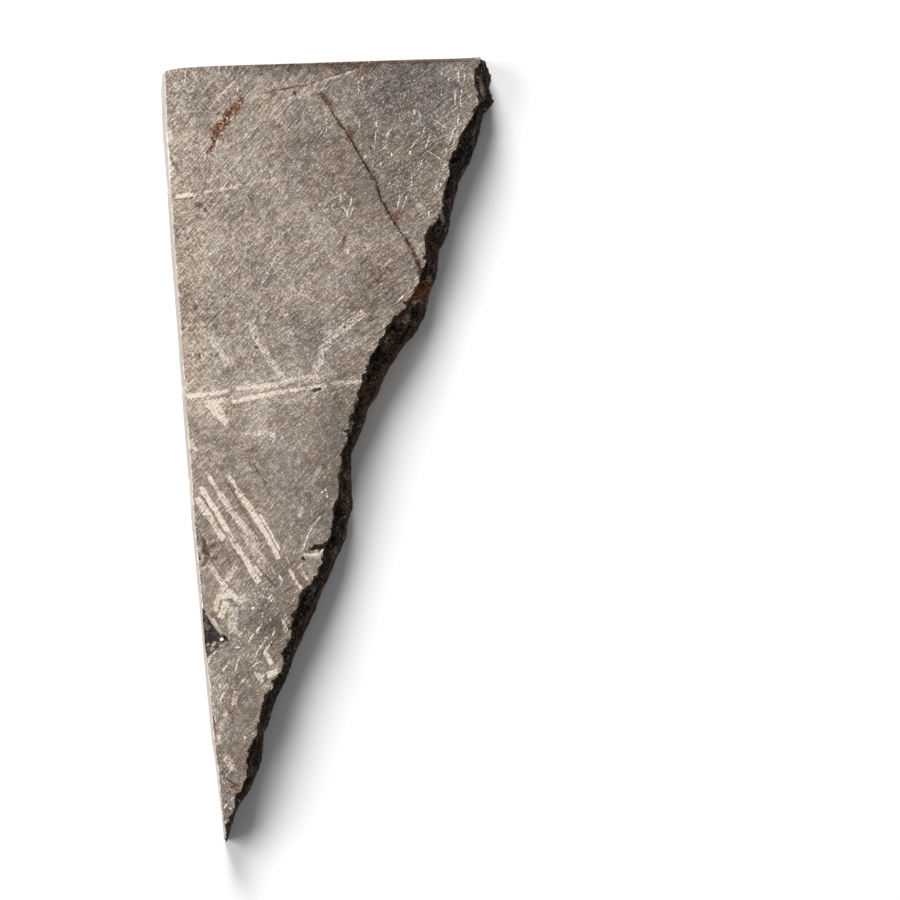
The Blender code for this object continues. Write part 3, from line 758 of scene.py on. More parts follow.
def refine(piece, fine_cell):
    """Splits the mesh's edges near the marks of the face until they are short enough there."""
    data = piece.data
    for step in range(SPLITS):
        bpy.ops.object.mode_set(mode="OBJECT")
        spots, touches = vertex_arrays(data)
        ends = read_all(data.edges, "vertices", int, 2)
        lengths = np.linalg.norm(spots[ends[:, 0]] - spots[ends[:, 1]], axis=1)
        long = lengths > wanted_lengths(spots[ends].mean(axis=1), touches, ends, fine_cell)
        data.polygons.foreach_set("select", np.zeros(len(data.polygons), bool))
        data.vertices.foreach_set("select", np.zeros(len(data.vertices), bool))
        data.edges.foreach_set("select", long)
        bpy.ops.object.mode_set(mode="EDIT")
        bpy.ops.mesh.select_mode(type="EDGE")
        bpy.ops.mesh.subdivide(number_cuts=1, ngon=False)
    bpy.ops.mesh.select_mode(type="FACE")


def mark_sharp_edges(piece):
    """Keeps the shading crisp where two finishes meet."""
    mesh = bmesh.from_edit_mesh(piece.data)
    for edge in mesh.edges:
        edge.smooth = len(face_kinds(edge)) == 1
    bmesh.update_edit_mesh(piece.data)


def fade(value, low, high):
    """0 below low, 1 above high, and a straight run between."""
    return max(0.0, min(1.0, (value - low) / (high - low)))


def crust_height(point, sizes):
    """How far the crust's knobs and grit stand out at a point: most under its upper edge and at the top."""
    knobs = noise.turbulence(point / sizes.knob_size, 3, False) - 0.55
    grit = noise.noise(point / sizes.grit_size)
    crumbly = max(fade(point.z / THICKNESS, 0.5, 0.9), fade(row_of(point.y), *KNOBBY_TOP))
    return (knobs * sizes.knob_height + grit * sizes.grit_height) * (0.4 + 0.6 * crumbly)


def crust_spread(point):
    """How far the crust stands out from the solid's side at a point."""
    row, share = row_of(point.y), point.z / THICKNESS
    return float(np.interp(row, *RIM_ROWS) * share + np.interp(row, *CRUST_ROWS) * (1 - share)) * PIXEL


def crust_move(point, normal, height, sizes):
    """Where a vertex of the crust goes: those of the level faces only move sideways."""
    off_tip = fade(row_of(point.y), *CALM_TIP)
    side = Vector((normal.x, normal.y, 0.0)).normalized()
    spread = side * crust_spread(point)
    if point.z > THICKNESS - TOUCH:
        wander = 1.3 * ripple(point, 1.5) + 0.6 * ripple(point, 0.6) + 0.15 * ripple(point, 0.25)
        return point + side * wander * sizes.ragged * off_tip + spread
    if point.z < TOUCH:
        return point + side * height * 0.5 * off_tip + spread
    level = fade(min(point.z, THICKNESS - point.z), 0.0, 0.3 * MM)
    moved = point + normal * height * level * (0.35 + 0.65 * off_tip) + spread
    moved.z = min(max(moved.z, 0.02 * MM), THICKNESS - 0.02 * MM)
    return moved


def bite_shift(point):
    """How far the bites draw a point into the slice."""
    shift = 0.0
    for x, y, depth in BITES:
        gap = (point - Vector((*place(x, y), THICKNESS))).length / (BITE_REACH * depth * PIXEL)
        shift += depth * PIXEL * max(0.0, 1 - gap) ** 2
    return INWARD * shift


def foot_shift(point, normal):
    """How far a sawn side stands out at a point, most at its foot."""
    side = Vector((normal.x, normal.y, 0.0)).normalized()
    if normal.y > abs(normal.x):
        return side * float(np.interp(column_of(point.x), *FOOT_COLUMNS)) * PIXEL
    reach = float(np.interp(row_of(point.y), *FOOT_ROWS))
    return side * reach * PIXEL * (1 - 0.75 * point.z / THICKNESS)


def way_to_crack(point):
    """The way from a point to the crack's middle line, and how far down the crack that is in pixels."""
    nearest, down, walked = Vector((1.0, 0.0)), 0.0, 0.0
    for start, end in zip(CRACK, CRACK[1:]):
        low, run = place(*start), place(*end) - place(*start)
        share = min(max((point.xy - low).dot(run) / run.length_squared, 0.0), 1.0)
        way = low + run * share - point.xy
        if way.length < nearest.length:
            nearest, down = way, walked + share * run.length / PIXEL
        walked += run.length / PIXEL
    return nearest, down


def break_move(point, normal, in_face):
    """Where a vertex of the crack or the chip goes."""
    way, down = way_to_crack(point)
    if way.length < CRACK_REACH:
        start = fade(down, *CRACK_START)
        closed = min(0.9, 0.45 + 0.45 * ripple(point, 0.5) + 0.4 * start)
        depth = (THICKNESS - point.z) * (0.5 - 0.35 * start)
        return Vector((*(point.xy + way * closed + drift(point, 0.7, 0.13).xy), THICKNESS - depth))
    if in_face:
        return point + Vector((*drift(point, 0.45, 0.11).xy, 0.0))
    rough = ripple(point, 0.7) + 0.5 * ripple(point, 0.3)
    moved = point + normal * rough * 0.2 * MM
    gap = min(1.0, (point.xy - place(*BEAD)).length / BEAD_RADIUS)
    moved.z = min(moved.z + BEAD_HEIGHT * math.sqrt(1 - gap ** 2), THICKNESS - 0.05 * MM)
    return moved


def face_sink(point, rust_gap, sizes):
    """How deep the etched face lies at a point, in its pits and between its rust's grains."""
    sink = 0.0
    for x, y, radius, depth in PITS:
        gap = (point.xy - place(x, y)).length / (radius * PIXEL)
        if gap < 1.6:
            sink += depth * MM * max(0.0, 1 - (gap + 0.35 * ripple(point, 0.25)) ** 2)
    if rust_gap < 0.25 * MM:
        grains = abs(ripple(point, 0.28)) - 0.25
        sink += grains * sizes.grain_height * fade(rust_gap, 0.25 * MM, 0.05 * MM)
    return max(sink, 0.0)


def shape_relief(piece, sizes):
    """Moves the vertices: crust, ragged edge and its bites, crack, chip, pits, rust grains, sawn feet."""
    data = piece.data
    spots, touches = vertex_arrays(data)
    normals = read_all(data.vertices, "normal", width=3)
    rust_gaps = nearest_gap(spots[:, :2], RUST_GRAINS)
    heights = np.zeros(len(spots))
    moved = spots.copy()
    for n, (spot, normal) in enumerate(zip(spots, normals)):
        point, normal = Vector(spot), Vector(normal)
        in_face, in_side, in_crust, in_break = touches[:, n]
        if in_crust:
            heights[n] = crust_height(point, sizes)
            moved[n] = crust_move(point, normal, heights[n], sizes) + bite_shift(point)
        elif in_break and not in_side:
            moved[n] = break_move(point, normal, in_face)
        elif in_face and not in_side and point.z > THICKNESS - TOUCH:
            moved[n] = point + bite_shift(point)
            moved[n][2] -= face_sink(point, rust_gaps[n], sizes)
        if in_side:
            moved[n] += foot_shift(point, normal)
    data.vertices.foreach_set("co", moved.ravel())
    rise = data.attributes.new("rise", "FLOAT", "POINT")
    rise.data.foreach_set("value", heights / (sizes.knob_height + sizes.grit_height))
    mark_edge_distance(data, moved, touches)
    data.update()


def mark_edge_distance(data, spots, touches):
    """Keeps each vertex's distance from the crust's upper edge, in millimetres, as an attribute."""
    rim = spots[touches[FACE] & touches[CRUST] & (spots[:, 2] > THICKNESS - TOUCH)]
    tree = kdtree.KDTree(len(rim))
    for n, (x, y, z) in enumerate(rim):
        tree.insert((x, y, THICKNESS), n)
    tree.balance()
    distances = [tree.find((x, y, THICKNESS))[2] / MM for x, y, z in spots]
    edge = data.attributes.new("edge", "FLOAT", "POINT")
    edge.data.foreach_set("value", distances)


class Value:
    """A node's output that can stand in an expression: a value, a vector or a colour."""

    def __init__(self, nodes, socket):
        self.nodes = nodes
        self.socket = socket

    def apply(self, operation, *others, clamp=False):
        """A Math node for a value, a Vector Math node for a vector, a Mix node for a colour."""
        if self.socket.type == "RGBA":
            return self.nodes.blend(1.0, self, *others, kind=operation)
        kind = "ShaderNodeMath" if self.socket.type == "VALUE" else "ShaderNodeVectorMath"
        settings = {"operation": operation, "use_clamp": True} if clamp else {"operation": operation}
        return self.nodes.node(kind, settings, dict(enumerate([self, *others])))

    def __add__(self, other):
        return self.apply("ADD", other)

    __radd__ = __add__

    def __sub__(self, other):
        return self.apply("SUBTRACT", other)

    def __rsub__(self, other):
        return (self * -1.0) + other

    def __mul__(self, other):
        return self.apply("MULTIPLY", other)

    __rmul__ = __mul__

    def lowest(self, other):
        """The lower of two."""
        return self.apply("MINIMUM", other)

    def highest(self, other):
        """The higher of two."""
        return self.apply("MAXIMUM", other)

    def over(self, low, high):
        """0 below low and 1 above high, or the other way round where high is the lower."""
        return self.apply("MULTIPLY_ADD", 1 / (high - low), -low / (high - low), clamp=True)


class Nodes:
    """A tree of nodes that is built from expressions."""

    def __init__(self, tree):
        self.tree = tree

    def node(self, kind, settings=None, sockets=None, output=0):
        """A node of a kind, with its settings, and the values or links of its sockets."""
        made = self.tree.nodes.new(kind)
        for name, setting in (settings or {}).items():
            setattr(made, name, setting)
        for name, value in (sockets or {}).items():
            self.feed(made.inputs[name], value)
        return Value(self, made.outputs[output])

    def feed(self, socket, value):
        """Links a socket or sets it; a number fills all parts of a vector."""
        if isinstance(value, Value):
            self.tree.links.new(value.socket, socket)
        elif socket.type == "VECTOR" and isinstance(value, (int, float)):
            socket.default_value = (value, value, value)
        else:
            socket.default_value = value

    def attribute(self, name):
        """One of the mesh's own values."""
        return self.node("ShaderNodeAttribute", {"attribute_name": name}, output="Fac")

    def blend(self, factor, first, second, kind="MIX"):
        """Two colours mixed by a factor."""
        settings = {"data_type": "RGBA", "blend_type": kind}
        return self.node("ShaderNodeMix", settings, {0: factor, 6: first, 7: second}, output=2)

    def tinted(self, colour, cover, tint, kind="MIX"):
        """A colour with a screen's colour laid over it."""
        return self.blend(cover, colour, linear(*tint), kind)

    def ramp(self, value, stops):
        """A colour from a value, from stops of a place and the screen's colour there."""
        made = self.node("ShaderNodeValToRGB", sockets={0: value})
        elements = made.socket.node.color_ramp.elements
        while len(elements) < len(stops):
            elements.new(0.5)
        for element, (spot, colour) in zip(elements, stops):
            element.position = spot
            element.color = linear(*colour)
        return made

    def parts(self, vector):
        """The three parts of a vector or a colour."""
        made = self.node("ShaderNodeSeparateXYZ", sockets={0: vector})
        return [Value(self, socket) for socket in made.socket.node.outputs]

    def join(self, x, y, z=0.0):
        """A vector of three parts."""
        return self.node("ShaderNodeCombineXYZ", sockets={0: x, 1: y, 2: z})

    def turned(self, point, angle, stretch):
        """A point turned back by an angle in degrees, and pressed together along it."""
        return self.node(
            "ShaderNodeMapping", {"vector_type": "TEXTURE"},
            {0: point, "Rotation": (0.0, 0.0, math.radians(angle)), "Scale": (stretch, 1.0, 1.0)},
        )

    def noise(self, point, size, detail=2.0, roughness=0.5, dimensions="2D"):
        """Noise about 0.5 with grains as long as size."""
        return self.node(
            "ShaderNodeTexNoise", {"noise_dimensions": dimensions},
            {"Vector": point, "Scale": 1 / size, "Detail": detail, "Roughness": roughness},
        )

    def rough(self, spot, size, detail, roughness=0.5):
        """Noise about 0.5 all through the slice, with grains as long as size in millimetres."""
        return self.noise(spot, size * MM, detail, roughness, dimensions="3D")

    def cells(self, point, size):
        """An even spread of values from 0 to 1, one to each grain of about a size."""
        settings, sockets = {"voronoi_dimensions": "2D"}, {"Vector": point, "Scale": 1 / size}
        return self.parts(self.node("ShaderNodeTexVoronoi", settings, sockets, output="Color"))[0]

    def warped(self, point, size, reach):
        """A point moved about by noise."""
        settings, sockets = {"noise_dimensions": "2D"}, {"Vector": point, "Scale": 1 / size, "Detail": 1.0}
        x, y, z = self.parts(self.node("ShaderNodeTexNoise", settings, sockets, output="Color"))
        return point + self.join((x - 0.5) * reach, (y - 0.5) * reach)

    def bump(self, height, strength, distance):
        """A bumped normal for the shader."""
        sockets = {"Height": height, "Strength": strength, "Distance": distance}
        return self.node("ShaderNodeBump", sockets=sockets)

    def row_band(self, row, middle, half):
        """1 in the middle of a band of the photograph's rows, fading to 0 beyond its half width."""
        return ((row - middle) * (1 / half)).apply("ABSOLUTE").over(1.6, 0.4)

    def axes(self, point):
        """A point's x in every part of one vector, and its y in every part of another."""
        x, y, z = self.parts(point)
        return self.join(x, x, x), self.join(y, y, y)

    def bars(self, axes, rows, soft):
        """How strongly straight marks cover a point; soft is the width of their blurred edges."""
        return self.laid("three_bars", bars_group, axes, [bar_terms(*row, soft) for row in rows])

    def specks(self, axes, rows):
        """How strongly pointed marks cover a point, most in their middle."""
        return self.laid("three_specks", specks_group, axes, [speck_terms(*row) for row in rows])

    def laid(self, name, build, axes, marks):
        """Marks laid over a point by a group of nodes, three at a time, one in each part of its vectors."""
        group = bpy.data.node_groups.get(name) or build(name)
        cover = (0.0, 0.0, 0.0)
        for first in range(0, len(marks), 3):
            three = (marks[first:first + 3] * 3)[:3]
            sockets = {label: [mark[label] for mark in three] for label in three[0]}
            sockets.update({"Xs": axes[0], "Ys": axes[1], "So far": cover})
            cover = self.node("ShaderNodeGroup", {"node_tree": group}, sockets)
        x, y, z = self.parts(cover)
        return x.highest(y).highest(z)


class Finish(Nodes):
    """A material that is built from expressions."""

    def __init__(self, name):
        self.material = bpy.data.materials.new(name)
        self.material.use_nodes = True
        super().__init__(self.material.node_tree)
        self.shader = self.tree.nodes["Principled BSDF"]

    def set(self, **sockets):
        """Sets or links the shader's sockets, whose names have _ for a space."""
        for name, value in sockets.items():
            self.feed(self.shader.inputs[name.replace("_", " ")], value)


def new_group(name, labels):
    """A group of nodes for three marks at a time, and what it is given, by name."""
    group = Nodes(bpy.data.node_groups.new(name, "ShaderNodeTree"))
    for label in labels:
        group.tree.interface.new_socket(label, in_out="INPUT", socket_type="NodeSocketVector")
    group.tree.interface.new_socket("Cover", in_out="OUTPUT", socket_type="NodeSocketVector")
    entry = group.tree.nodes.new("NodeGroupInput")
    return group, {label: Value(group, entry.outputs[label]) for label in labels}


def close_group(group, cover):
    """The tree of a group that gives how strongly its marks cover a point."""
    group.feed(group.tree.nodes.new("NodeGroupOutput").inputs["Cover"], cover)
    return group.tree


def span(given, name):
    """How far a point lies from the middles of three marks, along or across them."""
    upright = given["Ys"].apply("MULTIPLY_ADD", given[name + " y"], given[name])
    return given["Xs"].apply("MULTIPLY_ADD", given[name + " x"], upright)


def bars_group(name):
    """Three straight marks with blurred edges."""
    group, given = new_group(name, (
        "Xs", "Ys", "Along x", "Along y", "Along", "Length", "Across x", "Across y", "Across", "Width",
        "Strength", "So far",
    ))
    in_length = given["Length"] - span(given, "Along").apply("ABSOLUTE")
    in_width = given["Width"] - span(given, "Across").apply("ABSOLUTE")
    return close_group(group, in_length.lowest(in_width).lowest(given["Strength"]).highest(given["So far"]))


def specks_group(name):
    """Three pointed marks."""
    group, given = new_group(name, (
        "Xs", "Ys", "Along x", "Along y", "Along", "Across x", "Across y", "Across", "Strength", "So far",
    ))
    along, across = span(given, "Along"), span(given, "Across")
    cover = given["Strength"] - along.apply("MULTIPLY_ADD", along, across * across)
    return close_group(group, cover.highest(given["So far"]))


def mark_spans(x0, y0, x1, y1, along_scale, across_scale):
    """The numbers that give a point's scaled distance along and across a mark from its middle."""
    length = math.hypot(x1 - x0, y1 - y0)
    x, y = (x1 - x0) / length, (y1 - y0) / length
    spans = {}
    for name, dx, dy, scale in (("Along", x, y, along_scale), ("Across", -y, x, across_scale)):
        middle = dx * (x0 + x1) / 2 + dy * (y0 + y1) / 2
        spans.update({name + " x": dx * scale, name + " y": dy * scale, name: -middle * scale})
    return spans


def bar_terms(x0, y0, x1, y1, width, strength, soft):
    """What the group of bars needs of one mark."""
    scale = strength / soft
    half = math.hypot(x1 - x0, y1 - y0) / 2 * scale + strength / 2
    spans = mark_spans(x0, y0, x1, y1, scale, scale)
    return spans | {"Length": half, "Width": width / 2 * scale + strength / 2, "Strength": strength}


def speck_terms(x0, y0, x1, y1, width, strength):
    """What the group of specks needs of one mark."""
    root = math.sqrt(strength)
    along = root / (0.7 * math.hypot(x1 - x0, y1 - y0) + 0.3)
    return mark_spans(x0, y0, x1, y1, along, root / (0.6 * width + 0.15)) | {"Strength": strength}


def scaled(rows, strength_factor, width_factor=1.0):
    """Rows of a table of marks with their strengths and widths multiplied."""
    return [(*ends, width * width_factor, strength * strength_factor) for *ends, width, strength in rows]


def photo_point(finish):
    """A point, its height, and the photograph's column and row that it is under."""
    spot = finish.node("ShaderNodeTexCoord", output="Object")
    x, y, z = finish.parts(spot)
    return spot, z, column_of(x), row_of(y)


def plate_point(finish):
    """What photo_point gives, with column and row drawn down through the slice along its plates."""
    spot, z, column, row = photo_point(finish)
    depth = z * (-1 / PIXEL) + THICKNESS / PIXEL
    return spot, z, column + depth * PLATE_LEAN[0], row + depth * PLATE_LEAN[1]


def streaks(finish, flat, angle):
    """Scratches along an angle, about 0: short ones over long ones."""
    short = finish.noise(finish.turned(flat, angle, 9.0), 0.8, detail=0.0) - 0.5
    long = finish.noise(finish.turned(flat, angle, 36.0), 1.1, detail=2.0, roughness=0.6) - 0.5
    return short * 0.28 + long * 0.45


def brushed(finish, flat, column, row):
    """The fine scratches of the face: steep on the left, shallow on the right, weak below, some crossed."""
    right = (column * 0.8 + row * 0.35).over(*SHALLOW_RIGHT) * row.over(*SHALLOW_ROWS)
    ways = streaks(finish, flat, STEEP) * (1.0 - right) + streaks(finish, flat, SHALLOW) * right
    crossing = finish.noise(finish.turned(flat, CROSSING, 9.0), 1.0, detail=1.0) - 0.5
    crossing = crossing * (column.over(*CROSSED_COLUMNS) * 0.2 + 0.12)
    return ways * (1.0 - row.over(*WEAKER_ROWS) * 0.35) + crossing * (1.0 - row.over(*UNCROSSED_ROWS) * 0.6)


def metal_tone(finish, flat, row, sparkle, scratches):
    """How bright the plain metal is: its painted sparkle, scratches, clumps, broad patches and weak plates.
    """
    clumps = finish.noise(finish.turned(flat, CLUMPED, 1.7), 7.0, detail=3.0, roughness=0.6) - 0.5
    broad = finish.noise(flat, 36.0, detail=2.0) - 0.5
    # Rare bright grains of the sparkle, painted in as glitter highlights, weaker below DULL_ROWS
    tone = sparkle * sparkle * sparkle * (0.3 - row.over(*DULL_ROWS) * 0.06)
    tone = tone + scratches * 1.15 + clumps * 0.22 + broad * 0.12 + 0.445
    plate_spot = finish.warped(flat, 30.0, 8.0)
    for way, stretch, size, strength in PLATES:
        tone = tone + (finish.cells(finish.turned(plate_spot, way, stretch), size) - 0.5) * strength
    return tone


def bright_marks(finish, flat, grain, patchy):
    """What painted highlights (glinting inclusions, glints and bright nick lines) and the broad lighter and
    darker parts, partly painted light and painted shade, add to the metal's brightness.
    """
    axes = finish.axes(finish.warped(flat, 3.0, 1.2))
    # Glinting inclusions painted bright up to white: partly their own paler colour, partly painted highlight
    fleck_glints = finish.specks(axes, scaled(FLECK_GLINTS, 2.4, 0.65)) * (grain * 2.2 + 0.95)
    # Painted glints: rare bright specks laid into the colour as painted highlights, strongest where the face
    # sparkles
    glints = finish.noise(finish.turned(flat, GLINTING, 2.6), 1.0, detail=0.0).over(0.68, 0.84)
    glints = glints * (finish.specks(axes, SPARKLING) * patchy * 0.9 + 0.06)
    # Thin bright lines along the scratches, painted in as highlights of the light they catch
    nick_highlights = finish.noise(finish.turned(flat, NICK_HIGHLIGHTS, 10.0), 0.8, detail=0.0).over(0.6, 0.85) * 0.14
    # The broad lighter and darker parts are partly the face's own tone, partly painted light and painted
    # shade
    return fleck_glints + glints + nick_highlights + finish.specks(axes, LIGHTER) - finish.specks(axes, DARKER)


def add_casts(finish, colour, flat, axes, bands):
    """Blue and brown casts over a colour, here and there and in the parts that have one."""
    cool = finish.noise(flat, 40.0, detail=2.0).over(0.46, 0.74) * 0.25
    cool = cool.highest(finish.specks(axes, COOL) * 0.8) * (1.0 - bands)
    warm = finish.noise(flat, 22.0, detail=2.0).over(0.48, 0.76) * 0.25
    warm = warm.highest(finish.specks(axes, BROWN) * 0.6).highest(bands * 0.35)
    colour = finish.tinted(colour, cool, BLUE_CAST, "MULTIPLY")
    return finish.tinted(colour, warm, BROWN_CAST, "MULTIPLY")


def etched_iron():
    """The etched and brushed face, with its bands, flecks, scratches, crack stains and rust."""
    finish = Finish("etched_iron")
    spot, z, column, row = plate_point(finish)
    flat = finish.join(column, row)
    axes = finish.axes(finish.warped(finish.warped(flat, 12.0, 2.0), 2.6, 1.1))
    sparkle = finish.cells(flat, 0.95)
    grain = sparkle - 0.5
    patchy = finish.noise(flat, 5.0, detail=2.0)
    scratches = brushed(finish, flat, column, row)
    bands = finish.bars(axes, scaled(BANDS, 1.3, 0.82), 1.2)
    spots = finish.specks(axes, scaled(DARK_SPOTS, 1.4))
    tone = metal_tone(finish, flat, row, sparkle, scratches) + bright_marks(finish, flat, grain, patchy)
    tone = tone + bands * (patchy * 1.1 + grain * 1.4 + scratches * 3.2 + 0.65)
    tone = tone - finish.specks(axes, scaled(DARK_LINES, 1.3)) - spots * (patchy * 1.4 + 0.3)
    colour = add_casts(finish, finish.ramp(tone, FACE_TONES), flat, axes, bands.over(0.05, 0.2))
    colour = finish.tinted(colour, spots.over(0.06, 0.3) * (grain * 0.7 + 0.7), SPOT_BROWN)
    colour, rust = add_rust(finish, colour, axes, flat, patchy)
    edge = finish.attribute("edge") + (finish.noise(flat, 9.0, detail=1.0) - 0.5) * 1.6 + grain * 0.2
    colour = finish.tinted(colour, edge.over(0.3, 0.08), EDGE_BROWN)
    finish.set(
        Base_Color=colour, Roughness=0.52 + spots * 0.5, Metallic=0.85 - rust * 0.75 - bands * 0.12,
        Normal=finish.bump(scratches, 0.2, 0.02 * MM),
    )
    return finish.material


def add_rust(finish, colour, axes, flat, patchy):
    """The brown fissures, with painted shade along the short side, the crack's brown sides, rust stains and
    rust grains over a colour, and what the stains and grains cover."""
    crumbs = finish.noise(flat, 2.0, detail=2.0, roughness=0.7) + (finish.cells(flat, 1.2) - 0.5) * 0.2
    # Brown fissures, and painted shade along the short side's edge
    fissure_and_shade = finish.bars(axes, scaled(FISSURES_AND_EDGE_SHADE, 1.2), 1.1) * patchy.over(0.16, 0.4)
    colour = finish.tinted(colour, fissure_and_shade, FISSURE_AND_SHADE_BROWN)
    beside = [(*ends, 3.6, 1.0) for *ends, width in crack_rows()]
    stained = finish.bars(axes, beside, 3.0) * (crumbs + patchy).over(0.88, 1.1)
    colour = finish.tinted(colour, stained, CRACK_BROWN)
    stains = finish.specks(axes, scaled(RUST_STAINS, 1.2, 1.1))
    stains = (stains + ((crumbs - 0.5) * 3.4 + (patchy - 0.5) * 1.4) * stains.over(0.0, 0.2)).over(0.16, 0.5)
    speckle = finish.cells(flat, 1.6)
    stain = finish.blend(speckle * speckle, linear(*STAIN_DARK), linear(*STAIN_LIGHT))
    colour = finish.blend(stains * 0.9, colour, stain)
    grains = finish.bars(axes, scaled(RUST_GRAINS, 1.0, 1.1), 4.0)
    grains = (grains + ((crumbs - 0.5) * 2.2 + (patchy - 0.5) * 1.8) * grains.over(0.0, 0.2)).over(0.3, 0.5)
    rust = finish.ramp(finish.cells(flat, 1.5) * 0.36 + patchy * 0.4 + 0.12, RUST_TONES)
    return finish.blend(grains, colour, rust), grains.highest(stains)


def sawn_iron():
    """The sawn sides: the bands carry on through them, under saw marks, with a painted highlight along the
    long side's upper arris and painted shade towards the short side's right end.
    """
    finish = Finish("sawn_iron")
    spot, z, column, row = plate_point(finish)
    flat = finish.join(column, row)
    grain = finish.noise(flat, 1.2, detail=1.0, roughness=0.7) - 0.5
    patchy = finish.noise(flat, 5.0, detail=2.0)
    clumps = finish.noise(flat, 8.0, detail=3.0, roughness=0.6) - 0.5
    bands = finish.bars(finish.axes(finish.warped(flat, 10.0, 3.0)), BANDS, 2.0)
    step = (z * (1 / THICKNESS) - 0.55).apply("ABSOLUTE").over(0.12, 0.04)
    # Painted highlight along the upper arris of the long side, patchy, none along the short side
    arris = z.over(THICKNESS - 0.16 * MM, THICKNESS - 0.1 * MM) * row.over(*ARRIS_HIGHLIGHT_ROWS)
    arris = arris * patchy.over(0.42, 0.66)
    saw = finish.noise(spot * (60.0, 60.0, 5200.0), 1.0, detail=2.0, dimensions="3D") - 0.5
    tone = grain * 0.5 + clumps * 0.2 + saw * 0.35 + bands * 0.6 + 0.62
    # Painted shade over the sawn side towards the right end of the short side
    tone = tone - step * 0.1 + arris * 0.3 - column.over(*SHADED_SIDE_COLUMNS) * 0.3
    finish.set(
        Base_Color=finish.ramp(tone, SAWN_TONES), Roughness=0.42, Metallic=0.85,
        Normal=finish.bump(saw + grain * 0.3, 0.3, 0.03 * MM),
    )
    return finish.material


def weathered_crust():
    """The natural side: near-black crust, brown where it is worn and where rust comes through, with its
    knobs painted lighter and its hollows darker as painted highlight and painted shade.
    """
    finish = Finish("weathered_crust")
    spot, z, column, row = photo_point(finish)
    fine = finish.rough(spot, 0.35, 4.0, 0.7) - 0.5
    lumps = finish.rough(spot, 1.6, 3.0) - 0.5
    rusty = finish.rough(spot, 1.3, 4.0, 0.65)
    # Higher knobs are painted lighter and the hollows between them darker: painted highlight and painted
    # shade
    colour = finish.ramp(finish.attribute("rise") * 0.3 + fine * 2.5 + lumps + 0.4, CRUST_TONES)
    worn = [
        finish.row_band(row, middle, half) * z.over(start * THICKNESS, full * THICKNESS) * strength
        for middle, half, strength, start, full in WORN_CRUST
    ]
    worn = worn[0].highest(worn[1]).highest(worn[2])
    colour = finish.blend(worn * rusty.over(0.32, 0.48) * 0.9, colour, finish.ramp(fine + 0.5, WORN_TONES))
    colour = finish.tinted(colour, rusty.over(0.5, 0.64) * (row.over(*BROWN_ROWS) * 0.5 + 0.15), CRUST_RUST)
    axes = finish.axes(finish.warped(finish.join(column, row), 4.0, 2.0))
    colour = finish.tinted(colour, finish.specks(axes, PALE_CRUST) * (fine * 3.0 + 0.6), CRUST_PALE)
    finish.set(
        Base_Color=colour, Roughness=fine * 0.3 + 0.72, Metallic=0.0, Specular_IOR_Level=0.05,
        Normal=finish.bump(fine, 0.7, 0.15 * MM),
    )
    return finish.material


def broken_iron():
    """The chip and the crack: dark brown broken metal, with the chip's pale ledges, painted shade in its
    hollows and a painted highlight on its bead.
    """
    finish = Finish("broken_iron")
    spot, z, column, row = photo_point(finish)
    fine = finish.rough(spot, 0.4, 4.0, 0.7) - 0.5
    patches = finish.rough(spot, 1.1, 2.0)
    axes = finish.axes(finish.warped(finish.join(column, row), 3.0, 1.6))
    colour = finish.ramp(fine * 1.3 + patches, BROKEN_TONES)
    colour = finish.tinted(colour, column.over(*RUSTY_CRACK_COLUMNS) * 0.8, CRACK_RUST)
    colour = finish.tinted(colour, finish.bars(axes, LEDGES, 1.6) * (patches * 1.2 + 0.3), LEDGE_PALE)
    # Painted shade in the chip's hollows
    colour = finish.tinted(colour, finish.specks(axes, SHADED_HOLLOWS).over(0.1, 0.5) * 0.8, HOLLOW_SHADE)
    # A painted highlight on the bead, standing in for its shine
    bead_mark = (BEAD[0] - 1.3, BEAD[1], BEAD[0] + 1.3, BEAD[1] + 0.4, 3.0, 1.0)
    bead = finish.specks(axes, [bead_mark]).over(0.0, 0.9)
    finish.set(
        Base_Color=finish.tinted(colour, bead, BEAD_HIGHLIGHT), Roughness=0.6 - bead * 0.2, Metallic=0.4,
        Specular_IOR_Level=0.3, Normal=finish.bump(fine, 0.5, 0.1 * MM),
    )
    return finish.material


class SliceOperator(bpy.types.Operator):
    """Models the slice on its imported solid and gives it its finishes"""

    bl_idname = "meteorite.slice"
    bl_label = "Etched slice"

    def execute(self, context):
        sizes = context.scene.slice_sizes
        noise.seed_set(SEED)
        piece = copy_solid("etched_slice")
        break_arrises(piece, sizes.arris)
        grid_level_faces(piece, sizes.cell)
        divide_crust(piece, sizes.crust_cuts)
        refine(piece, sizes.fine_cell)
        mark_sharp_edges(piece)
        bpy.ops.object.mode_set(mode="OBJECT")
        shape_relief(piece, sizes)
        select_only(piece)
        bpy.ops.object.shade_smooth_by_angle(angle=math.radians(40), keep_sharp_edges=True)
        for material in (etched_iron(), sawn_iron(), weathered_crust(), broken_iron()):
            piece.data.materials.append(material)
        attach(piece, BODY)
        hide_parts(NODE)
        return {"FINISHED"}


class StageOperator(bpy.types.Operator):
    """Sets up the floor, the lights and the camera"""

    bl_idname = "meteorite.stage"
    bl_label = "Stage"

    def execute(self, context):
        look = context.scene.stage_look
        add_floor(look)
        add_light("key_light", *KEY_LIGHT, look.key_power)
        add_light("fill_light", *FILL_LIGHT, look.fill_power)
        add_light("rim_light", *RIM_LIGHT, look.rim_power)
        add_camera(look)
        world = bpy.data.worlds.new("studio")
        world.use_nodes = True
        background = world.node_tree.nodes["Background"]
        background.inputs["Color"].default_value = (1.0, 1.0, 1.0, 1.0)
        background.inputs["Strength"].default_value = look.world_strength
        context.scene.world = world
        context.scene.view_settings.view_transform = "Standard"
        return {"FINISHED"}


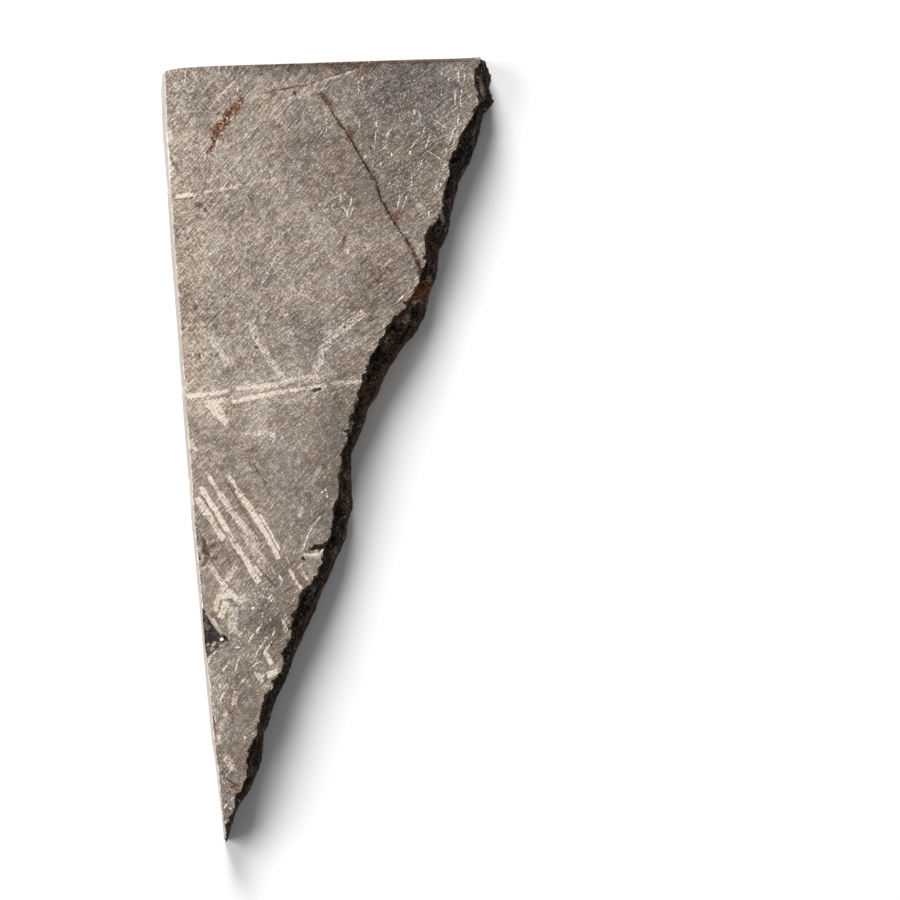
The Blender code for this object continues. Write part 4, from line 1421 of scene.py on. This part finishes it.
def add_floor(look):
    """A plain pale floor just under the slice."""
    bpy.ops.object.select_all(action="DESELECT")
    bpy.ops.mesh.primitive_plane_add(size=look.floor_size, location=(0.0, 0.0, -0.00005))
    floor = bpy.context.object
    floor.name = "floor"
    bpy.ops.object.transform_apply(location=True)
    finish = Finish("floor_paint")
    finish.set(Base_Color=[*look.floor_colour, 1.0], Roughness=0.9)
    floor.data.materials.append(finish.material)


def add_light(name, spot, size, power):
    """A round soft light at a place, turned to the middle of the slice."""
    bpy.ops.object.light_add(type="AREA", location=spot)
    light = bpy.context.object
    light.name = name
    light.data.shape = "DISK"
    light.data.energy = power
    light.data.size = size
    light.rotation_euler = (-Vector(spot)).to_track_quat("-Z", "Y").to_euler()


def add_camera(look):
    """A camera that looks straight down on the middle of the photograph."""
    middle = place(PHOTO_PIXELS / 2, PHOTO_PIXELS / 2)
    spot = (middle.x, middle.y, THICKNESS + look.camera_height)
    bpy.ops.object.camera_add(location=spot, rotation=(0.0, 0.0, 0.0))
    camera = bpy.context.object
    camera.data.sensor_width = 36.0
    camera.data.lens = camera.data.sensor_width * look.camera_height / (PHOTO_PIXELS * PIXEL)
    camera.data.clip_end = 10 * look.camera_height
    bpy.context.scene.camera = camera


class MeteoritePanel(bpy.types.Panel):
    """The slice's pieces and sizes"""

    bl_idname = "VIEW3D_PT_meteorite"
    bl_label = "Meteorite"
    bl_space_type = "VIEW_3D"
    bl_region_type = "UI"
    bl_category = "Meteorite"

    def draw(self, context):
        for group in (context.scene.slice_sizes, context.scene.stage_look):
            box = self.layout.box()
            for name in group.__annotations__:
                box.prop(group, name)
        self.layout.operator(SliceOperator.bl_idname)
        self.layout.operator(StageOperator.bl_idname)


CLASSES = (SliceSizes, StageLook, SliceOperator, StageOperator, MeteoritePanel)


def register():
    for kind in CLASSES:
        bpy.utils.register_class(kind)
    bpy.types.Scene.slice_sizes = PointerProperty(type=SliceSizes)
    bpy.types.Scene.stage_look = PointerProperty(type=StageLook)


def unregister():
    del bpy.types.Scene.stage_look
    del bpy.types.Scene.slice_sizes
    for kind in reversed(CLASSES):
        bpy.utils.unregister_class(kind)


def main():
    """Builds the slice and its stage."""
    register()
    bpy.ops.meteorite.slice()
    bpy.ops.meteorite.stage()


if __name__ == "__main__":
    main()
